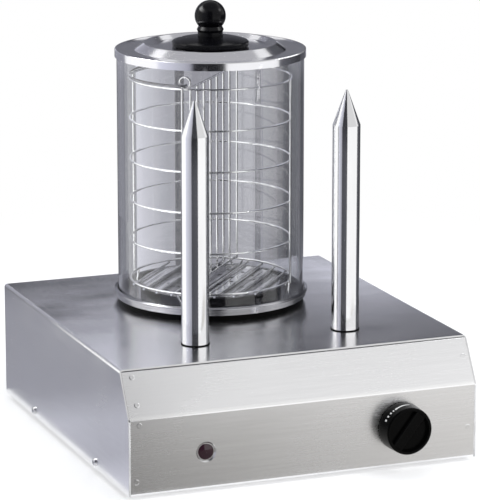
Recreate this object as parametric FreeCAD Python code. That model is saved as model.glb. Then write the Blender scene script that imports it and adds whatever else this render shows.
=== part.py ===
import FreeCAD, Part
import math
import os

# Hot dog toaster: a heated steel base with two bun spikes, and a glass steaming tower that
# holds a wire basket under a lid. Millimetres, +Z up, front panel towards -Y. The origin is on
# the surface that the feet stand on, at the middle of the whole object's footprint.

V = FreeCAD.Vector
UP = V(0, 0, 1)
FRONT = V(0, -1, 0)
BACK = V(0, 1, 0)

# Clearances
FIT = 0.2                 # between sheets that slide past each other
WELD_GAP = 0.05           # between wires that are welded where they cross
LOOSE_GAP = 0.3           # under a piece that only rests on its seat
RUN_GAP = 0.05            # round a shaft that turns, on the radius
PANEL_GAP = 0.6           # open joint between the top sheet and the front panel
HOLE_END = 2.0            # left free at the end of a blind hole
CUT = 1.0                 # how far a cutting shape reaches past a face

# Casing
CASE_W = 378.5
CASE_D = 411.5
CASE_H = 123.5
COVER_T = 1.5
PANEL_T = 1.2
COVER_BEND = 2.6          # bend radius at the middle of the sheet
PANEL_BEND = 1.9
SLOPE_SETBACK = 27.0      # how far the top edge lies behind the front face
FOLD_H = 78.0             # height of the upright part of the front panel
FLANGE = 15.0
NOTCH_R = 1.4

# Feet
FOOT_STAND = 5.0          # from the table to the casing's lower edge
FOOT_R = 9.0
FOOT_TIP_R = 8.0
FOOT_INSET = 42.0
FOOT_BORE_R = 4.6
FOOT_BORE_DEPTH = 3.2

# Fasteners
M3_R = 1.5
M4_R = 2.0
M6_R = 3.0
M3_HEAD_R = 3.0
M3_HEAD_H = 2.0
M4_HEAD_R = 4.0
M4_HEAD_H = 2.4
M4_NUT_R = 4.0
M4_NUT_H = 3.2
M6_HEAD_R = 5.5
M6_HEAD_H = 3.6
LOW_HEAD_R = 3.6          # low heads under the control knob
LOW_HEAD_H = 2.2
HEAD_ROUND = 0.6          # rounded edge, as a share of the head's height
RECESS_L = 1.1            # cross recess, as shares of the head's radius and height
RECESS_W = 0.22
RECESS_DEPTH = 0.5
SCREW_PROUD = 2.0         # how far a screw stands out of its nut
SIDE_SCREW_L = 6.5
REAR_SCREW_L = 6.4
STAT_SCREW_L = 8.2
THREAD_GAP = 0.05
HOLE_GAP = 0.3

# Tower: ring, pan, glass
TOWER_SETBACK = 268.7     # tower axis behind the front face
RING_H = 6.0
RING_R = 100.0
RING_INNER_R = 86.0
RING_EDGE = 0.8
PAN_T = 0.8
PAN_BEND = 0.9
PAN_BOWL_R = 70.0
PAN_BOWL_DEPTH = 28.0
PAN_RIM_H = 8.0           # top of the collar above the ledge
PAN_SHOULDER_W = 3.4      # from the collar out to the shoulder's edge
PAN_SHOULDER_DROP = 2.0
PAN_SKIRT_IN = 2.1        # how far the skirt's foot lies inside the shoulder's edge
PAN_HOLE_GAP = 4.0
PLATE_R = 76.0            # strainer plate over the bowl
PLATE_H = 14.0
PLATE_T = 0.8
PLATE_BEND = 2.0
PLATE_HOLE_R = 2.5
PLATE_HOLE_PITCH = 24.0   # from one circle of holes to the next
PLATE_HOLE_CIRCLES = 2
PLATE_HOLE_COUNT = 8      # holes on the first circle, and more on each further one
GLASS_R = 99.75
GLASS_T = 3.0
GLASS_H = 265.0
GLASS_EDGE = 0.5
GLASS_GAP = 0.5           # between the glass and the pan's collar

# Spikes
SPIKE_X = 83.0
SPIKE_SETBACK = 95.3
SPIKE_R = 14.3
SPIKE_H = 251.5
SPIKE_CONE_H = 36.0
SPIKE_TIP_R = 1.2
SPIKE_BOSS_R = 9.0
SPIKE_BOSS_H = 15.0
WASHER_H = 1.0
WASHER_R = 15.0
SPIKE_NUT_R = 14.0
SPIKE_NUT_H = 6.0
HEATER_R = 6.0
HEATER_H = 120.0
LEAD_R = 1.1
LEAD_L = 12.0
LEAD_X = 2.5

# Basket
WIRE_R = 1.2
BASKET_R = 86.4
RING_COUNT = 6
RING_PITCH = 43.67
BASKET_STAND = 18.3       # lowest ring above the pan's ledge
BASKET_TURN = 40.0        # the partition's direction, from the back towards the right
FLOOR_OFFSETS = (14.0, 32.0, 50.0, 68.0)
BAR_PITCH = 21.0
BARS_EACH_SIDE = 3
WIRE_OVERHANG = 1.0
UPRIGHT_COUNT = 4
FOOT_SPREAD = 7.0
FOOT_BEND = 2.4
EYE_LOOP_R = 5.8
EYE_OUT = 79.5            # eye from the tower axis
BAIL_R = 84.0
BAIL_PIN = 8.5
BAIL_BEND = 2.6
BAIL_NECK = 3.2           # pivot line to the middle of the bail's bow

# Lid
LID_T = 0.8
LID_R = 101.75
LID_SKIRT_H = 8.5
LID_BEND = 0.8
LID_LAND_DROP = 1.5       # flat land below the outer edge
LID_STEP_R = 80.4
LID_CREST_R = 69.0
LID_CREST_W = 2.8
LID_CREST_H = 7.4         # crest above the land
LID_DISH_DEPTH = 4.1
LID_DISH_R = 63.0
LID_EDGE_W = 3.4
LID_WASHER_R = 9.0

# Lid knob
FLANGE_R = 41.0
FLANGE_RIM_H = 6.0
FLANGE_FOOT_EDGE = 1.6
FLANGE_EDGE_W = 1.4
FLANGE_EDGE_H = 1.2
DOME_MID_R = 27.06        # a point on the dome's curve: its radius and its height above the rim
DOME_MID_H = 3.168
DOME_H = 10.4
NECK_R = 13.4
COLLAR_R = 14.3
PINCH_R = 12.2
NECK_H = 17.8
COLLAR_H = 2.6
PINCH_UP = 4.16           # from the collar's edge up to the narrowest place
BALL_R = 16.6
BALL_H = 32.2             # ball's middle above the flange's foot
KNOB_HOLE_DEPTH = 16.0

# Control panel
KNOB_INSET = 84.25        # from the casing's right side
KNOB_H = 41.8
KNOB_R = 25.5
KNOB_FACE_R = 24.6
KNOB_DEPTH = 20.7
KNOB_GAP = 1.0
KNOB_SKIRT_H = 3.0
KNOB_DISH_R = 21.4
KNOB_DISH_DEPTH = 5.0
KNOB_DISH_DRAFT = 1.5
KNOB_BACK_R = 20.5
KNOB_BACK_DEPTH = 5.0
KNOB_HUB_R = 6.5
KNOB_GRIP_W = 13.0
KNOB_GRIP_ROUND = 2.4
KNOB_GRIP_LOW = 0.6       # grip bar below the rim
KNOB_GRIP_IN = 0.5        # grip bar's end inside the dish's edge
KNOB_GRIP_TURN = 52.0
KNOB_EDGE_R = 1.2
SHAFT_R = 3.0
SHAFT_IN = 21.0
SHAFT_GRIP = 13.0
SHAFT_END = 1.0           # free at each end of the shaft
STAT_W = 40.0
STAT_H = 34.0
STAT_D = 30.0
STAT_HOLE_X = 14.0
STAT_TAP = 9.0
STAT_EDGE_R = 1.5
STAT_PORT_IN = 6.0        # capillary's port, ahead of the thermostat's back
STAT_BLADE_X = 10.0
STAT_BLADE_DROP = 8.0
BLADE_W = 6.3             # terminal blades
BLADE_L = 8.0
BLADE_T = 0.8
SHAFT_HOLE_R = 5.0
LAMP_INSET = 81.85        # from the casing's left side
LAMP_H = 37.9
LAMP_HOLE_R = 7.0
LAMP_DISH_R = 10.6        # pressed dish round the lamp
LAMP_DISH_DEPTH = 1.5
LAMP_LENS_R = 8.2
LAMP_LENS_H = 0.9
LAMP_LENS_BEVEL = 0.8
LAMP_DOME_H = 1.3
LAMP_BODY_H = 24.0
LAMP_BLADE_X = 3.5
LAMP_NUT_R = 10.0
LAMP_NUT_H = 3.0

# Heater under the pan
SPREADER_R = 62.0
SPREADER_T = 5.0
ELEMENT_R = 48.0
ELEMENT_TUBE_R = 4.0
ELEMENT_GAP_DEG = 40.0
ELEMENT_LEG = 22.0
ELEMENT_LEG_DEG = 6.0     # from the ring's end to its leg
CLAMP_L = 112.0
CLAMP_W = 16.0
CLAMP_T = 2.5
STUD_L = 22.0
NUT_R = 5.8
NUT_H = 5.0
CUTOUT_R = 8.0
CUTOUT_H = 9.0
CUTOUT_SETBACK = 23.0
CUTOUT_BLADE_X = 4.0
BULB_R = 3.0
BULB_L = 56.0
BULB_SETBACK = -23.0
CAPILLARY_R = 0.9
CAPILLARY_BEND = 3.0
CAPILLARY_DROP = 22.0
CAPILLARY_RUN = 60.0      # how far ahead of the bulb the tube is over to the thermostat's side
CAPILLARY_LEAD = 0.5
BRACKET_T = 1.2
BRACKET_BEND = 1.6
BRACKET_REACH = 97.0
BRACKET_DROP = 14.0
BRACKET_DEG = 10.0
BRACKET_COUNT = 3
BRACKET_START = 30.0

# Rear panel and wiring points
GLAND_INSET = 69.25       # from the casing's left side
GLAND_H = 36.0
GLAND_OUT = 16.0
GLAND_HEX_R = 11.0
GLAND_HEX_H = 6.0
GLAND_THREAD_R = 7.8
GLAND_THREAD_IN = 9.0
GLAND_NOSE_FOOT_R = 9.24
GLAND_NOSE_R = 6.6
GLAND_BORE_R = 4.0
GLAND_NUT_H = 4.0
ANGLE_W = 14.0
REAR_SCREW_LOW = 30.0
REAR_SCREW_TOP = 24.0
SIDE_SCREW_H = 6.8
SIDE_SCREW_SETBACK = 103.9
BLOCK_L = 52.0
BLOCK_W = 18.0
BLOCK_H = 16.0
BLOCK_POLES = 4
BLOCK_HOLE_R = 2.4
BLOCK_WIRE_R = 1.92
BLOCK_WIRE_H = 5.0
BLOCK_WELL = 7.0
GRUB_H = 5.0
GRUB_SLOT_W = 0.8
GRUB_SLOT_DEPTH = 1.0
BLOCK_INSET = 79.25       # from the casing's left side
BLOCK_AHEAD = 60.0        # terminal block in front of the rear panel
VENT_L = 34.0
VENT_W = 4.0
VENT_PITCH = 11.0
VENT_COUNT = 6
VENT_COLUMNS = 2
VENT_COLUMN_PITCH = 47.6
VENT_X = 30.6             # middle of the rear vents
FLOOR_VENT_L = 102.0
EARTH_INSET = 24.25       # from the casing's left side
EARTH_L = 14.0

# Levels and places that follow
CASE_TOP = FOOT_STAND + CASE_H
FOLD_Z = FOOT_STAND + FOLD_H
KNOB_OUT = KNOB_GAP + KNOB_DEPTH
FRONT_Y = -(CASE_D + GLAND_OUT - KNOB_OUT) / 2
BACK_Y = FRONT_Y + CASE_D
TOWER = V(0, FRONT_Y + TOWER_SETBACK, 0)
KNOB_X = CASE_W / 2 - KNOB_INSET
LAMP_X = LAMP_INSET - CASE_W / 2
GLAND_X = GLAND_INSET - CASE_W / 2
BLOCK_X = BLOCK_INSET - CASE_W / 2
EARTH_X = EARTH_INSET - CASE_W / 2
INSIDE_W = CASE_W - 2 * COVER_T - 2 * FIT
UNDER_TOP = CASE_TOP - COVER_T
PLATE_Z = FOOT_STAND + PANEL_T + FIT          # underside of the bottom plate
FLOOR_Z = PLATE_Z + PANEL_T
RING_TOP = CASE_TOP + RING_H
LEDGE_Z = RING_TOP + PAN_T                    # seat of the glass and the basket
BOWL_FLOOR = LEDGE_Z - PAN_BOWL_DEPTH - PAN_T  # underside of the pan's bowl
COLLAR_MID_R = GLASS_R + GLASS_GAP + PAN_T / 2
PAN_HOLE_R = PAN_BOWL_R + PAN_HOLE_GAP
GLASS_TOP = LEDGE_Z + GLASS_H
LID_TOP = GLASS_TOP + LID_T + LID_LAND_DROP
DISH_TOP = LID_TOP - LID_LAND_DROP + LID_CREST_H - LID_DISH_DEPTH
FIRST_RING = LEDGE_Z + BASKET_STAND
LAST_RING = FIRST_RING + (RING_COUNT - 1) * RING_PITCH
CROSSING = 2 * WIRE_R + WELD_GAP              # middle to middle of two crossing wires
PARTITION_TOP = LAST_RING - CROSSING
PARTITION_FOOT = FIRST_RING + CROSSING
EYE_Z = PARTITION_TOP + 2 * WIRE_R + WELD_GAP + EYE_LOOP_R
PIVOT_Z = EYE_Z - EYE_LOOP_R + 2 * WIRE_R + LOOSE_GAP
BAIL_REACH = BAIL_R + BAIL_NECK
BAIL_DROOP = math.degrees(math.asin((PIVOT_Z - LAST_RING - 2 * WIRE_R - LOOSE_GAP) / BAIL_REACH))
KNOB_Z = FOOT_STAND + KNOB_H
LAMP_Z = FOOT_STAND + LAMP_H
PANEL_BACK = FRONT_Y + PANEL_T
LAMP_SEAT = FRONT_Y + LAMP_DISH_DEPTH
SPREADER_Z = BOWL_FLOOR - SPREADER_T
ELEMENT_Z = SPREADER_Z - WELD_GAP - ELEMENT_TUBE_R
CLAMP_Z = ELEMENT_Z - ELEMENT_TUBE_R - WELD_GAP


# Small helpers

def polar(radius, degrees, z=0.0):
    """Point at a radius and a bearing, where 0 is the back (+Y) and 90 the right (+X)."""
    angle = math.radians(degrees)
    return V(radius * math.sin(angle), radius * math.cos(angle), z)


def aim(shape, direction, spot):
    """Turn a shape built along +Z so that it points along direction, and move it to spot."""
    shape.Placement = FreeCAD.Placement(spot, FreeCAD.Rotation(UP, direction))
    return shape


def rod(radius, start, end):
    """Round bar between two points."""
    run = end - start
    return Part.makeCylinder(radius, run.Length, start, run)


def tube(outer, inner, height, spot, direction=UP):
    """Round tube or washer."""
    return Part.makeCylinder(outer, height, spot, direction).cut(
        Part.makeCylinder(inner, height, spot, direction))


def hexagon(radius, height, spot, direction=UP):
    """Six-sided bar, such as a nut, with the radius to its corners."""
    corners = []
    for step in range(7):
        angle = math.radians(60 * step)
        corners.append(V(radius * math.cos(angle), radius * math.sin(angle), 0))
    bar = Part.Face(Part.makePolygon(corners)).extrude(V(0, 0, height))
    return aim(bar, direction, spot)


def block(size, spot):
    """Box of a size whose middle is at spot in X and Y, and whose base is at spot in Z."""
    return Part.makeBox(size[0], size[1], size[2], V(spot[0] - size[0] / 2, spot[1] - size[1] / 2, spot[2]))


def screw(shank_r, head_r, head_h, length, spot, direction):
    """Pan-head screw with a cross recess. Its head stands on spot and points along direction."""
    head = Part.makeCylinder(head_r, head_h)
    head = head.makeFillet(head_h * HEAD_ROUND, [head.Edges[0]])
    shape = head.fuse(Part.makeCylinder(shank_r, length, V(0, 0, -length)))
    slot_l = head_r * RECESS_L
    slot_w = head_r * RECESS_W
    depth = head_h * RECESS_DEPTH
    shape = shape.cut(block((slot_l, slot_w, depth), (0, 0, head_h - depth)))
    shape = shape.cut(block((slot_w, slot_l, depth), (0, 0, head_h - depth)))
    return aim(shape, direction, spot)


def nut(corner_r, bore_r, height, spot, direction=UP):
    """Hexagon nut standing on spot."""
    return hexagon(corner_r, height, spot, direction).cut(
        Part.makeCylinder(bore_r, height, spot, direction))


def revolved(outline, degrees=360.0, start=0.0):
    """Solid of a closed outline of (radius, z) points turned about Z."""
    corners = [V(radius, 0, z) for radius, z in outline]
    face = Part.Face(Part.makePolygon(corners + [corners[0]]))
    return turned(face, degrees, start)


def turned(face, degrees=360.0, start=0.0):
    """Solid of a face in the XZ plane turned about Z."""
    shape = face.revolve(V(0, 0, 0), UP, degrees)
    shape.rotate(V(0, 0, 0), UP, start)
    return shape


def inset(points, distance):
    """Open outline moved sideways by a distance, to its left, with mitred corners."""
    moved = []
    last = len(points) - 1
    for index, point in enumerate(points):
        before = points[index] - points[index - 1] if index else points[1] - points[0]
        after = points[index + 1] - points[index] if index < last else before
        before = before.normalize()
        after = V(after).normalize()
        left = V(-before.y - after.y, before.x + after.x, 0).normalize()
        lean = left.dot(V(-before.y, before.x, 0))
        moved.append(point + left * (distance / lean))
    return moved


def bent_strip(points, thickness, bend, place):
    """Face of an even sheet whose middle follows points (u, v), with a bend radius at each corner.

    place turns a flat vector (u, v) into its spot in space.
    """
    sides = []
    for offset in (thickness / 2, -thickness / 2):
        edges = []
        ends = []
        here = None
        for index in range(len(points) - 1):
            run = (points[index + 1] - points[index]).normalize()
            left = V(-run.y, run.x, 0)
            if index == 0:
                here = points[0] + left * offset
                ends.append(here)
            if index == len(points) - 2:
                there = points[-1] + left * offset
                edges.append(Part.makeLine(place(here), place(there)))
                ends.append(there)
                break
            ahead = (points[index + 2] - points[index + 1]).normalize()
            ahead_left = V(-ahead.y, ahead.x, 0)
            turn = math.atan2(run.x * ahead.y - run.y * ahead.x, run.dot(ahead))
            side = math.copysign(1.0, turn)
            reach = bend * math.tan(abs(turn) / 2)
            corner = points[index + 1]
            centre = corner - run * reach + left * (bend * side)
            start = corner - run * reach + left * offset
            end = corner + ahead * reach + ahead_left * offset
            outward = V(corner - centre).normalize()
            middle = centre + outward * (bend - offset * side)
            edges.append(Part.makeLine(place(here), place(start)))
            edges.append(Part.Arc(place(start), place(middle), place(end)).toShape())
            here = end
        sides.append((edges, ends))
    (left_edges, left_ends), (right_edges, right_ends) = sides
    outline = list(left_edges)
    outline.append(Part.makeLine(place(left_ends[1]), place(right_ends[1])))
    outline.extend(reversed(right_edges))
    outline.append(Part.makeLine(place(right_ends[0]), place(left_ends[0])))
    return Part.Face(Part.Wire(Part.__sortEdges__(outline)))


def in_xz(point):
    """Flat point placed as (x, z)."""
    return V(point.x, 0, point.y)


def in_yz(point):
    """Flat point placed as (y, z)."""
    return V(0, point.x, point.y)


def bent_panel(points, thickness, bend, width):
    """Sheet bent to an outline of (y, z) points and centred across X."""
    shape = bent_strip(points, thickness, bend, in_yz).extrude(V(width, 0, 0))
    shape.translate(V(-width / 2, 0, 0))
    return shape


def wire_along(points, radius, bend):
    """Round wire along a path with the same bend radius at each corner."""
    edges = []
    here = points[0]
    for index in range(1, len(points) - 1):
        run = (points[index] - points[index - 1]).normalize()
        ahead = (points[index + 1] - points[index]).normalize()
        reach = bend * math.tan(run.getAngle(ahead) / 2)
        start = points[index] - run * reach
        end = points[index] + ahead * reach
        inward = V(ahead - run).normalize()
        centre = points[index] + inward * math.hypot(bend, reach)
        middle = centre - inward * bend
        edges.append(Part.makeLine(here, start))
        edges.append(Part.Arc(start, middle, end).toShape())
        here = end
    edges.append(Part.makeLine(here, points[-1]))
    path = Part.Wire(edges)
    first = (points[1] - points[0]).normalize()
    section = Part.Wire(Part.makeCircle(radius, points[0], first))
    return path.makePipeShell([section], True, True)


def at_tower(shape):
    """Shape built round the Z axis, moved to the tower's axis."""
    shape.translate(TOWER)
    return shape


def at_basket(shape):
    """Shape built round the Z axis with the partition along Y, turned and moved to the tower."""
    shape.rotate(V(0, 0, 0), UP, -BASKET_TURN)
    return at_tower(shape)


def spike_spots(z):
    """Left and right spike axes at a height."""
    return [V(side * SPIKE_X, FRONT_Y + SPIKE_SETBACK, z) for side in (-1, 1)]


def foot_spots(z):
    """Axes of the four feet at a height."""
    spots = []
    for x in (-CASE_W / 2 + FOOT_INSET, CASE_W / 2 - FOOT_INSET):
        for y in (FRONT_Y + FOOT_INSET, BACK_Y - FOOT_INSET):
            spots.append(V(x, y, z))
    return spots


def side_screw_spots():
    """Side screws: where each one enters the cover, and the way its head points."""
    z = FOOT_STAND + SIDE_SCREW_H
    spots = []
    for side in (-1, 1):
        for y in (FRONT_Y + SIDE_SCREW_SETBACK, BACK_Y - SIDE_SCREW_SETBACK):
            spots.append((V(side * CASE_W / 2, y, z), V(side, 0, 0)))
    return spots


def rear_screw_spots():
    """Rear screws on the outer face of the rear panel."""
    x = INSIDE_W / 2 - ANGLE_W / 2
    spots = []
    for side in (-1, 1):
        for z in (FOOT_STAND + REAR_SCREW_LOW, CASE_TOP - REAR_SCREW_TOP):
            spots.append(V(side * x, BACK_Y, z))
    return spots


def stat_screw_spots(y):
    """The two thermostat screws at a depth."""
    return [V(KNOB_X + side * STAT_HOLE_X, y, KNOB_Z) for side in (-1, 1)]


# Casing

def top_cover():
    """Top and both sides, folded from one sheet, with the slope cut at the front."""
    half = CASE_W / 2 - COVER_T / 2
    top = CASE_TOP - COVER_T / 2
    section = [V(-half, FOOT_STAND, 0), V(-half, top, 0), V(half, top, 0), V(half, FOOT_STAND, 0)]
    cover = bent_strip(section, COVER_T, COVER_BEND, in_xz).extrude(V(0, CASE_D, 0))
    cover.translate(V(0, FRONT_Y, 0))
    wedge = Part.makePolygon([
        V(-CASE_W, FRONT_Y, FOLD_Z),
        V(-CASE_W, FRONT_Y + SLOPE_SETBACK, CASE_TOP),
        V(-CASE_W, FRONT_Y + SLOPE_SETBACK, CASE_TOP + COVER_T),
        V(-CASE_W, FRONT_Y - COVER_T, CASE_TOP + COVER_T),
        V(-CASE_W, FRONT_Y - COVER_T, FOLD_Z),
        V(-CASE_W, FRONT_Y, FOLD_Z)])
    cuts = [Part.Face(wedge).extrude(V(2 * CASE_W, 0, 0))]
    cuts.append(rod(NOTCH_R, V(-CASE_W, FRONT_Y, FOLD_Z), V(CASE_W, FRONT_Y, FOLD_Z)))
    cuts.append(Part.makeCylinder(PAN_HOLE_R, 4 * COVER_T, TOWER + V(0, 0, CASE_TOP - 2 * COVER_T)))
    for spot in spike_spots(CASE_TOP - 2 * COVER_T):
        cuts.append(Part.makeCylinder(SPIKE_BOSS_R + HOLE_GAP, 4 * COVER_T, spot))
    for spot, way in side_screw_spots():
        cuts.append(rod(M4_R + HOLE_GAP, spot + way * COVER_T, spot - way * 2 * COVER_T))
    return cover.cut(cuts)


def front_panel():
    """Front sheet: upright below, sloped above, with flanges turned in at the foot and the top."""
    top = UNDER_TOP - PANEL_GAP
    slope_y = FRONT_Y + SLOPE_SETBACK * (top - FOLD_Z) / (CASE_TOP - FOLD_Z)
    outer = [
        V(FRONT_Y + FLANGE, FOOT_STAND, 0), V(FRONT_Y, FOOT_STAND, 0), V(FRONT_Y, FOLD_Z, 0),
        V(slope_y, top, 0), V(slope_y + FLANGE, top, 0)]
    panel = bent_panel(inset(outer, -PANEL_T / 2), PANEL_T, PANEL_BEND, INSIDE_W)
    for side in (-1, 1):
        x = side * (INSIDE_W / 2 - PANEL_T / 2)
        tab = block((PANEL_T, FLANGE, FOLD_H - 2 * FLANGE), (x, PANEL_BACK + FLANGE / 2, FOOT_STAND + FLANGE))
        panel = panel.fuse(tab)
    cuts = [rod(SHAFT_HOLE_R, V(KNOB_X, FRONT_Y - CUT, KNOB_Z), V(KNOB_X, PANEL_BACK + CUT, KNOB_Z))]
    cuts.append(rod(LAMP_DISH_R, V(LAMP_X, FRONT_Y - CUT, LAMP_Z), V(LAMP_X, PANEL_BACK + CUT, LAMP_Z)))
    for spot in stat_screw_spots(FRONT_Y - CUT):
        cuts.append(Part.makeCylinder(M4_R + HOLE_GAP, PANEL_T + 2 * CUT, spot, BACK))
    return panel.cut(cuts).fuse(lamp_dish()).removeSplitter()


def lamp_dish():
    """Pressed dish in the front panel that the pilot lamp sits in."""
    floor_r = LAMP_DISH_R - LAMP_DISH_DEPTH
    dish = revolved([
        (LAMP_DISH_R, 0), (floor_r, -LAMP_DISH_DEPTH), (LAMP_HOLE_R, -LAMP_DISH_DEPTH),
        (LAMP_HOLE_R, -LAMP_DISH_DEPTH - PANEL_T), (floor_r, -LAMP_DISH_DEPTH - PANEL_T),
        (LAMP_DISH_R, -PANEL_T)])
    return aim(dish, FRONT, V(LAMP_X, FRONT_Y, LAMP_Z))


def rear_panel():
    """Rear sheet with the cable hole and two rows of vents."""
    top = UNDER_TOP - FIT
    outer = [
        V(BACK_Y - FLANGE, FOOT_STAND, 0), V(BACK_Y, FOOT_STAND, 0),
        V(BACK_Y, top, 0), V(BACK_Y - FLANGE, top, 0)]
    panel = bent_panel(inset(outer, PANEL_T / 2), PANEL_T, PANEL_BEND, INSIDE_W)
    inside = BACK * (PANEL_T + CUT)
    through = PANEL_T + 2 * CUT
    gland = V(GLAND_X, BACK_Y, FOOT_STAND + GLAND_H)
    cuts = [Part.makeCylinder(GLAND_THREAD_R + HOLE_GAP, through, gland - inside, BACK)]
    for spot in rear_screw_spots():
        cuts.append(Part.makeCylinder(M3_R + HOLE_GAP, through, spot - inside, BACK))
    for column in range(VENT_COLUMNS):
        x = VENT_X + (column - (VENT_COLUMNS - 1) / 2) * VENT_COLUMN_PITCH
        for index in range(VENT_COUNT):
            z = CASE_TOP - REAR_SCREW_TOP - index * VENT_PITCH
            cuts.append(block((VENT_L, 4 * PANEL_T, VENT_W), (x, BACK_Y - PANEL_T / 2, z)))
    return panel.cut(cuts)


def bottom_plate():
    """Bottom sheet with flanges turned up at both sides and vent slots."""
    half = INSIDE_W / 2 - FIT - PANEL_T / 2
    low = PLATE_Z + PANEL_T / 2
    high = FOOT_STAND + FLANGE
    section = [V(-half, high, 0), V(-half, low, 0), V(half, low, 0), V(half, high, 0)]
    depth = CASE_D - 4 * PANEL_BEND
    plate = bent_strip(section, PANEL_T, PANEL_BEND, in_xz).extrude(V(0, depth, 0))
    plate.translate(V(0, FRONT_Y + (CASE_D - depth) / 2, 0))
    cuts = []
    below = PLATE_Z - CUT
    through = PANEL_T + 2 * CUT
    for spot in foot_spots(below):
        cuts.append(Part.makeCylinder(M4_R + HOLE_GAP, through, spot))
    for spot, way in side_screw_spots():
        cuts.append(rod(M4_R + THREAD_GAP, spot, spot - way * SIDE_SCREW_L))
    for index in range(VENT_COUNT):
        y = TOWER.y + (index - (VENT_COUNT - 1) / 2) * VENT_PITCH
        cuts.append(block((FLOOR_VENT_L, VENT_W, through), (0, y, below)))
    cuts.append(Part.makeCylinder(M4_R + THREAD_GAP, through, V(EARTH_X, BACK_Y - BLOCK_AHEAD, below)))
    return plate.cut(cuts)


def rear_angles():
    """Upright angles, welded inside the cover's sides, that the rear panel is screwed to."""
    low = FOOT_STAND + FLANGE + FIT
    height = UNDER_TOP - FLANGE - low
    face_y = BACK_Y - PANEL_T
    shapes = []
    for side in (-1, 1):
        x = side * INSIDE_W / 2
        leg = block((PANEL_T, ANGLE_W, height), (x - side * PANEL_T / 2, face_y - ANGLE_W / 2, low))
        flat = block((ANGLE_W, PANEL_T, height), (x - side * ANGLE_W / 2, face_y - PANEL_T / 2, low))
        shapes.append(leg.fuse(flat).removeSplitter())
    inside = BACK * (2 * PANEL_T + CUT)
    through = 2 * (PANEL_T + CUT)
    holes = [Part.makeCylinder(M3_R + THREAD_GAP, through, spot - inside, BACK)
             for spot in rear_screw_spots()]
    return [shape.cut(holes) for shape in shapes]


def rubber_feet():
    """Four tapered feet with a recess for the screw head."""
    shapes = []
    for spot in foot_spots(0):
        foot = Part.makeCone(FOOT_TIP_R, FOOT_R, PLATE_Z, spot)
        foot = foot.cut(Part.makeCylinder(FOOT_BORE_R, FOOT_BORE_DEPTH, spot))
        shapes.append(foot.cut(Part.makeCylinder(M4_R + HOLE_GAP, PLATE_Z, spot)))
    return shapes


def foot_screws():
    """Screws that hold the feet from below."""
    length = FLOOR_Z + M4_NUT_H + SCREW_PROUD - FOOT_BORE_DEPTH
    return [screw(M4_R, M4_HEAD_R, M4_HEAD_H, length, spot, -UP) for spot in foot_spots(FOOT_BORE_DEPTH)]


def foot_nuts():
    """Nuts on the foot screws, inside the casing."""
    return [nut(M4_NUT_R, M4_R + THREAD_GAP, M4_NUT_H, spot) for spot in foot_spots(FLOOR_Z)]


def side_screws():
    """Screws through the cover's sides into the bottom plate."""
    return [screw(M4_R, M4_HEAD_R, M4_HEAD_H, SIDE_SCREW_L, spot, way) for spot, way in side_screw_spots()]


def rear_screws():
    """Screws that hold the rear panel to the angles."""
    return [screw(M3_R, M3_HEAD_R, M3_HEAD_H, REAR_SCREW_L, spot, BACK) for spot in rear_screw_spots()]


# Tower

def insulating_ring():
    """Black ring between the top sheet and the pan."""
    return at_tower(revolved([
        (RING_INNER_R, CASE_TOP), (RING_R, CASE_TOP), (RING_R, RING_TOP - RING_EDGE),
        (RING_R - RING_EDGE, RING_TOP), (RING_INNER_R, RING_TOP)]))


def water_pan():
    """Pan with a bowl, a flat ledge, a collar round the glass, a sloped shoulder and a skirt."""
    floor = BOWL_FLOOR + PAN_T / 2
    ledge = RING_TOP + PAN_T / 2
    rim = LEDGE_Z + PAN_RIM_H
    edge = COLLAR_MID_R + PAN_SHOULDER_W
    middle = [
        V(0, floor, 0), V(PAN_BOWL_R, floor, 0), V(PAN_BOWL_R, ledge, 0), V(COLLAR_MID_R, ledge, 0),
        V(COLLAR_MID_R, rim, 0), V(edge, rim - PAN_SHOULDER_DROP, 0), V(edge - PAN_SKIRT_IN, RING_TOP, 0)]
    return at_tower(turned(bent_strip(middle, PAN_T, PAN_BEND, in_xz)))


def strainer_plate():
    """Inverted dish with steam holes that stands over the bowl, under the basket."""
    top = LEDGE_Z + PLATE_H - PLATE_T / 2
    out = PLATE_R - PLATE_T / 2
    plate = turned(bent_strip([V(0, top, 0), V(out, top, 0), V(out, LEDGE_Z, 0)], PLATE_T, PLATE_BEND, in_xz))
    cuts = []
    for circle in range(1, PLATE_HOLE_CIRCLES + 1):
        count = circle * PLATE_HOLE_COUNT
        for index in range(count):
            spot = polar(circle * PLATE_HOLE_PITCH, 360 * index / count, LEDGE_Z)
            cuts.append(Part.makeCylinder(PLATE_HOLE_R, 2 * PLATE_H, spot))
    return at_tower(plate.cut(cuts))


def pan_brackets():
    """Three brackets under the top sheet that hold the pan's bowl."""
    high = UNDER_TOP - BRACKET_T / 2
    wall = PAN_BOWL_R + PAN_T / 2 + WELD_GAP + BRACKET_T / 2
    middle = [V(BRACKET_REACH, high, 0), V(wall, high, 0), V(wall, high - BRACKET_DROP, 0)]
    shapes = []
    for index in range(BRACKET_COUNT):
        face = bent_strip(middle, BRACKET_T, BRACKET_BEND, in_xz)
        start = BRACKET_START + 360 * index / BRACKET_COUNT
        shapes.append(at_tower(turned(face, BRACKET_DEG, start)))
    return shapes


def glass_cylinder():
    """Open glass tube standing on the pan's ledge, with ground edges."""
    inner = GLASS_R - GLASS_T
    edge_r = GLASS_R - GLASS_EDGE
    return at_tower(revolved([
        (inner, LEDGE_Z), (edge_r, LEDGE_Z), (GLASS_R, LEDGE_Z + GLASS_EDGE),
        (GLASS_R, GLASS_TOP - GLASS_EDGE), (edge_r, GLASS_TOP), (inner, GLASS_TOP)]))


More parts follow.
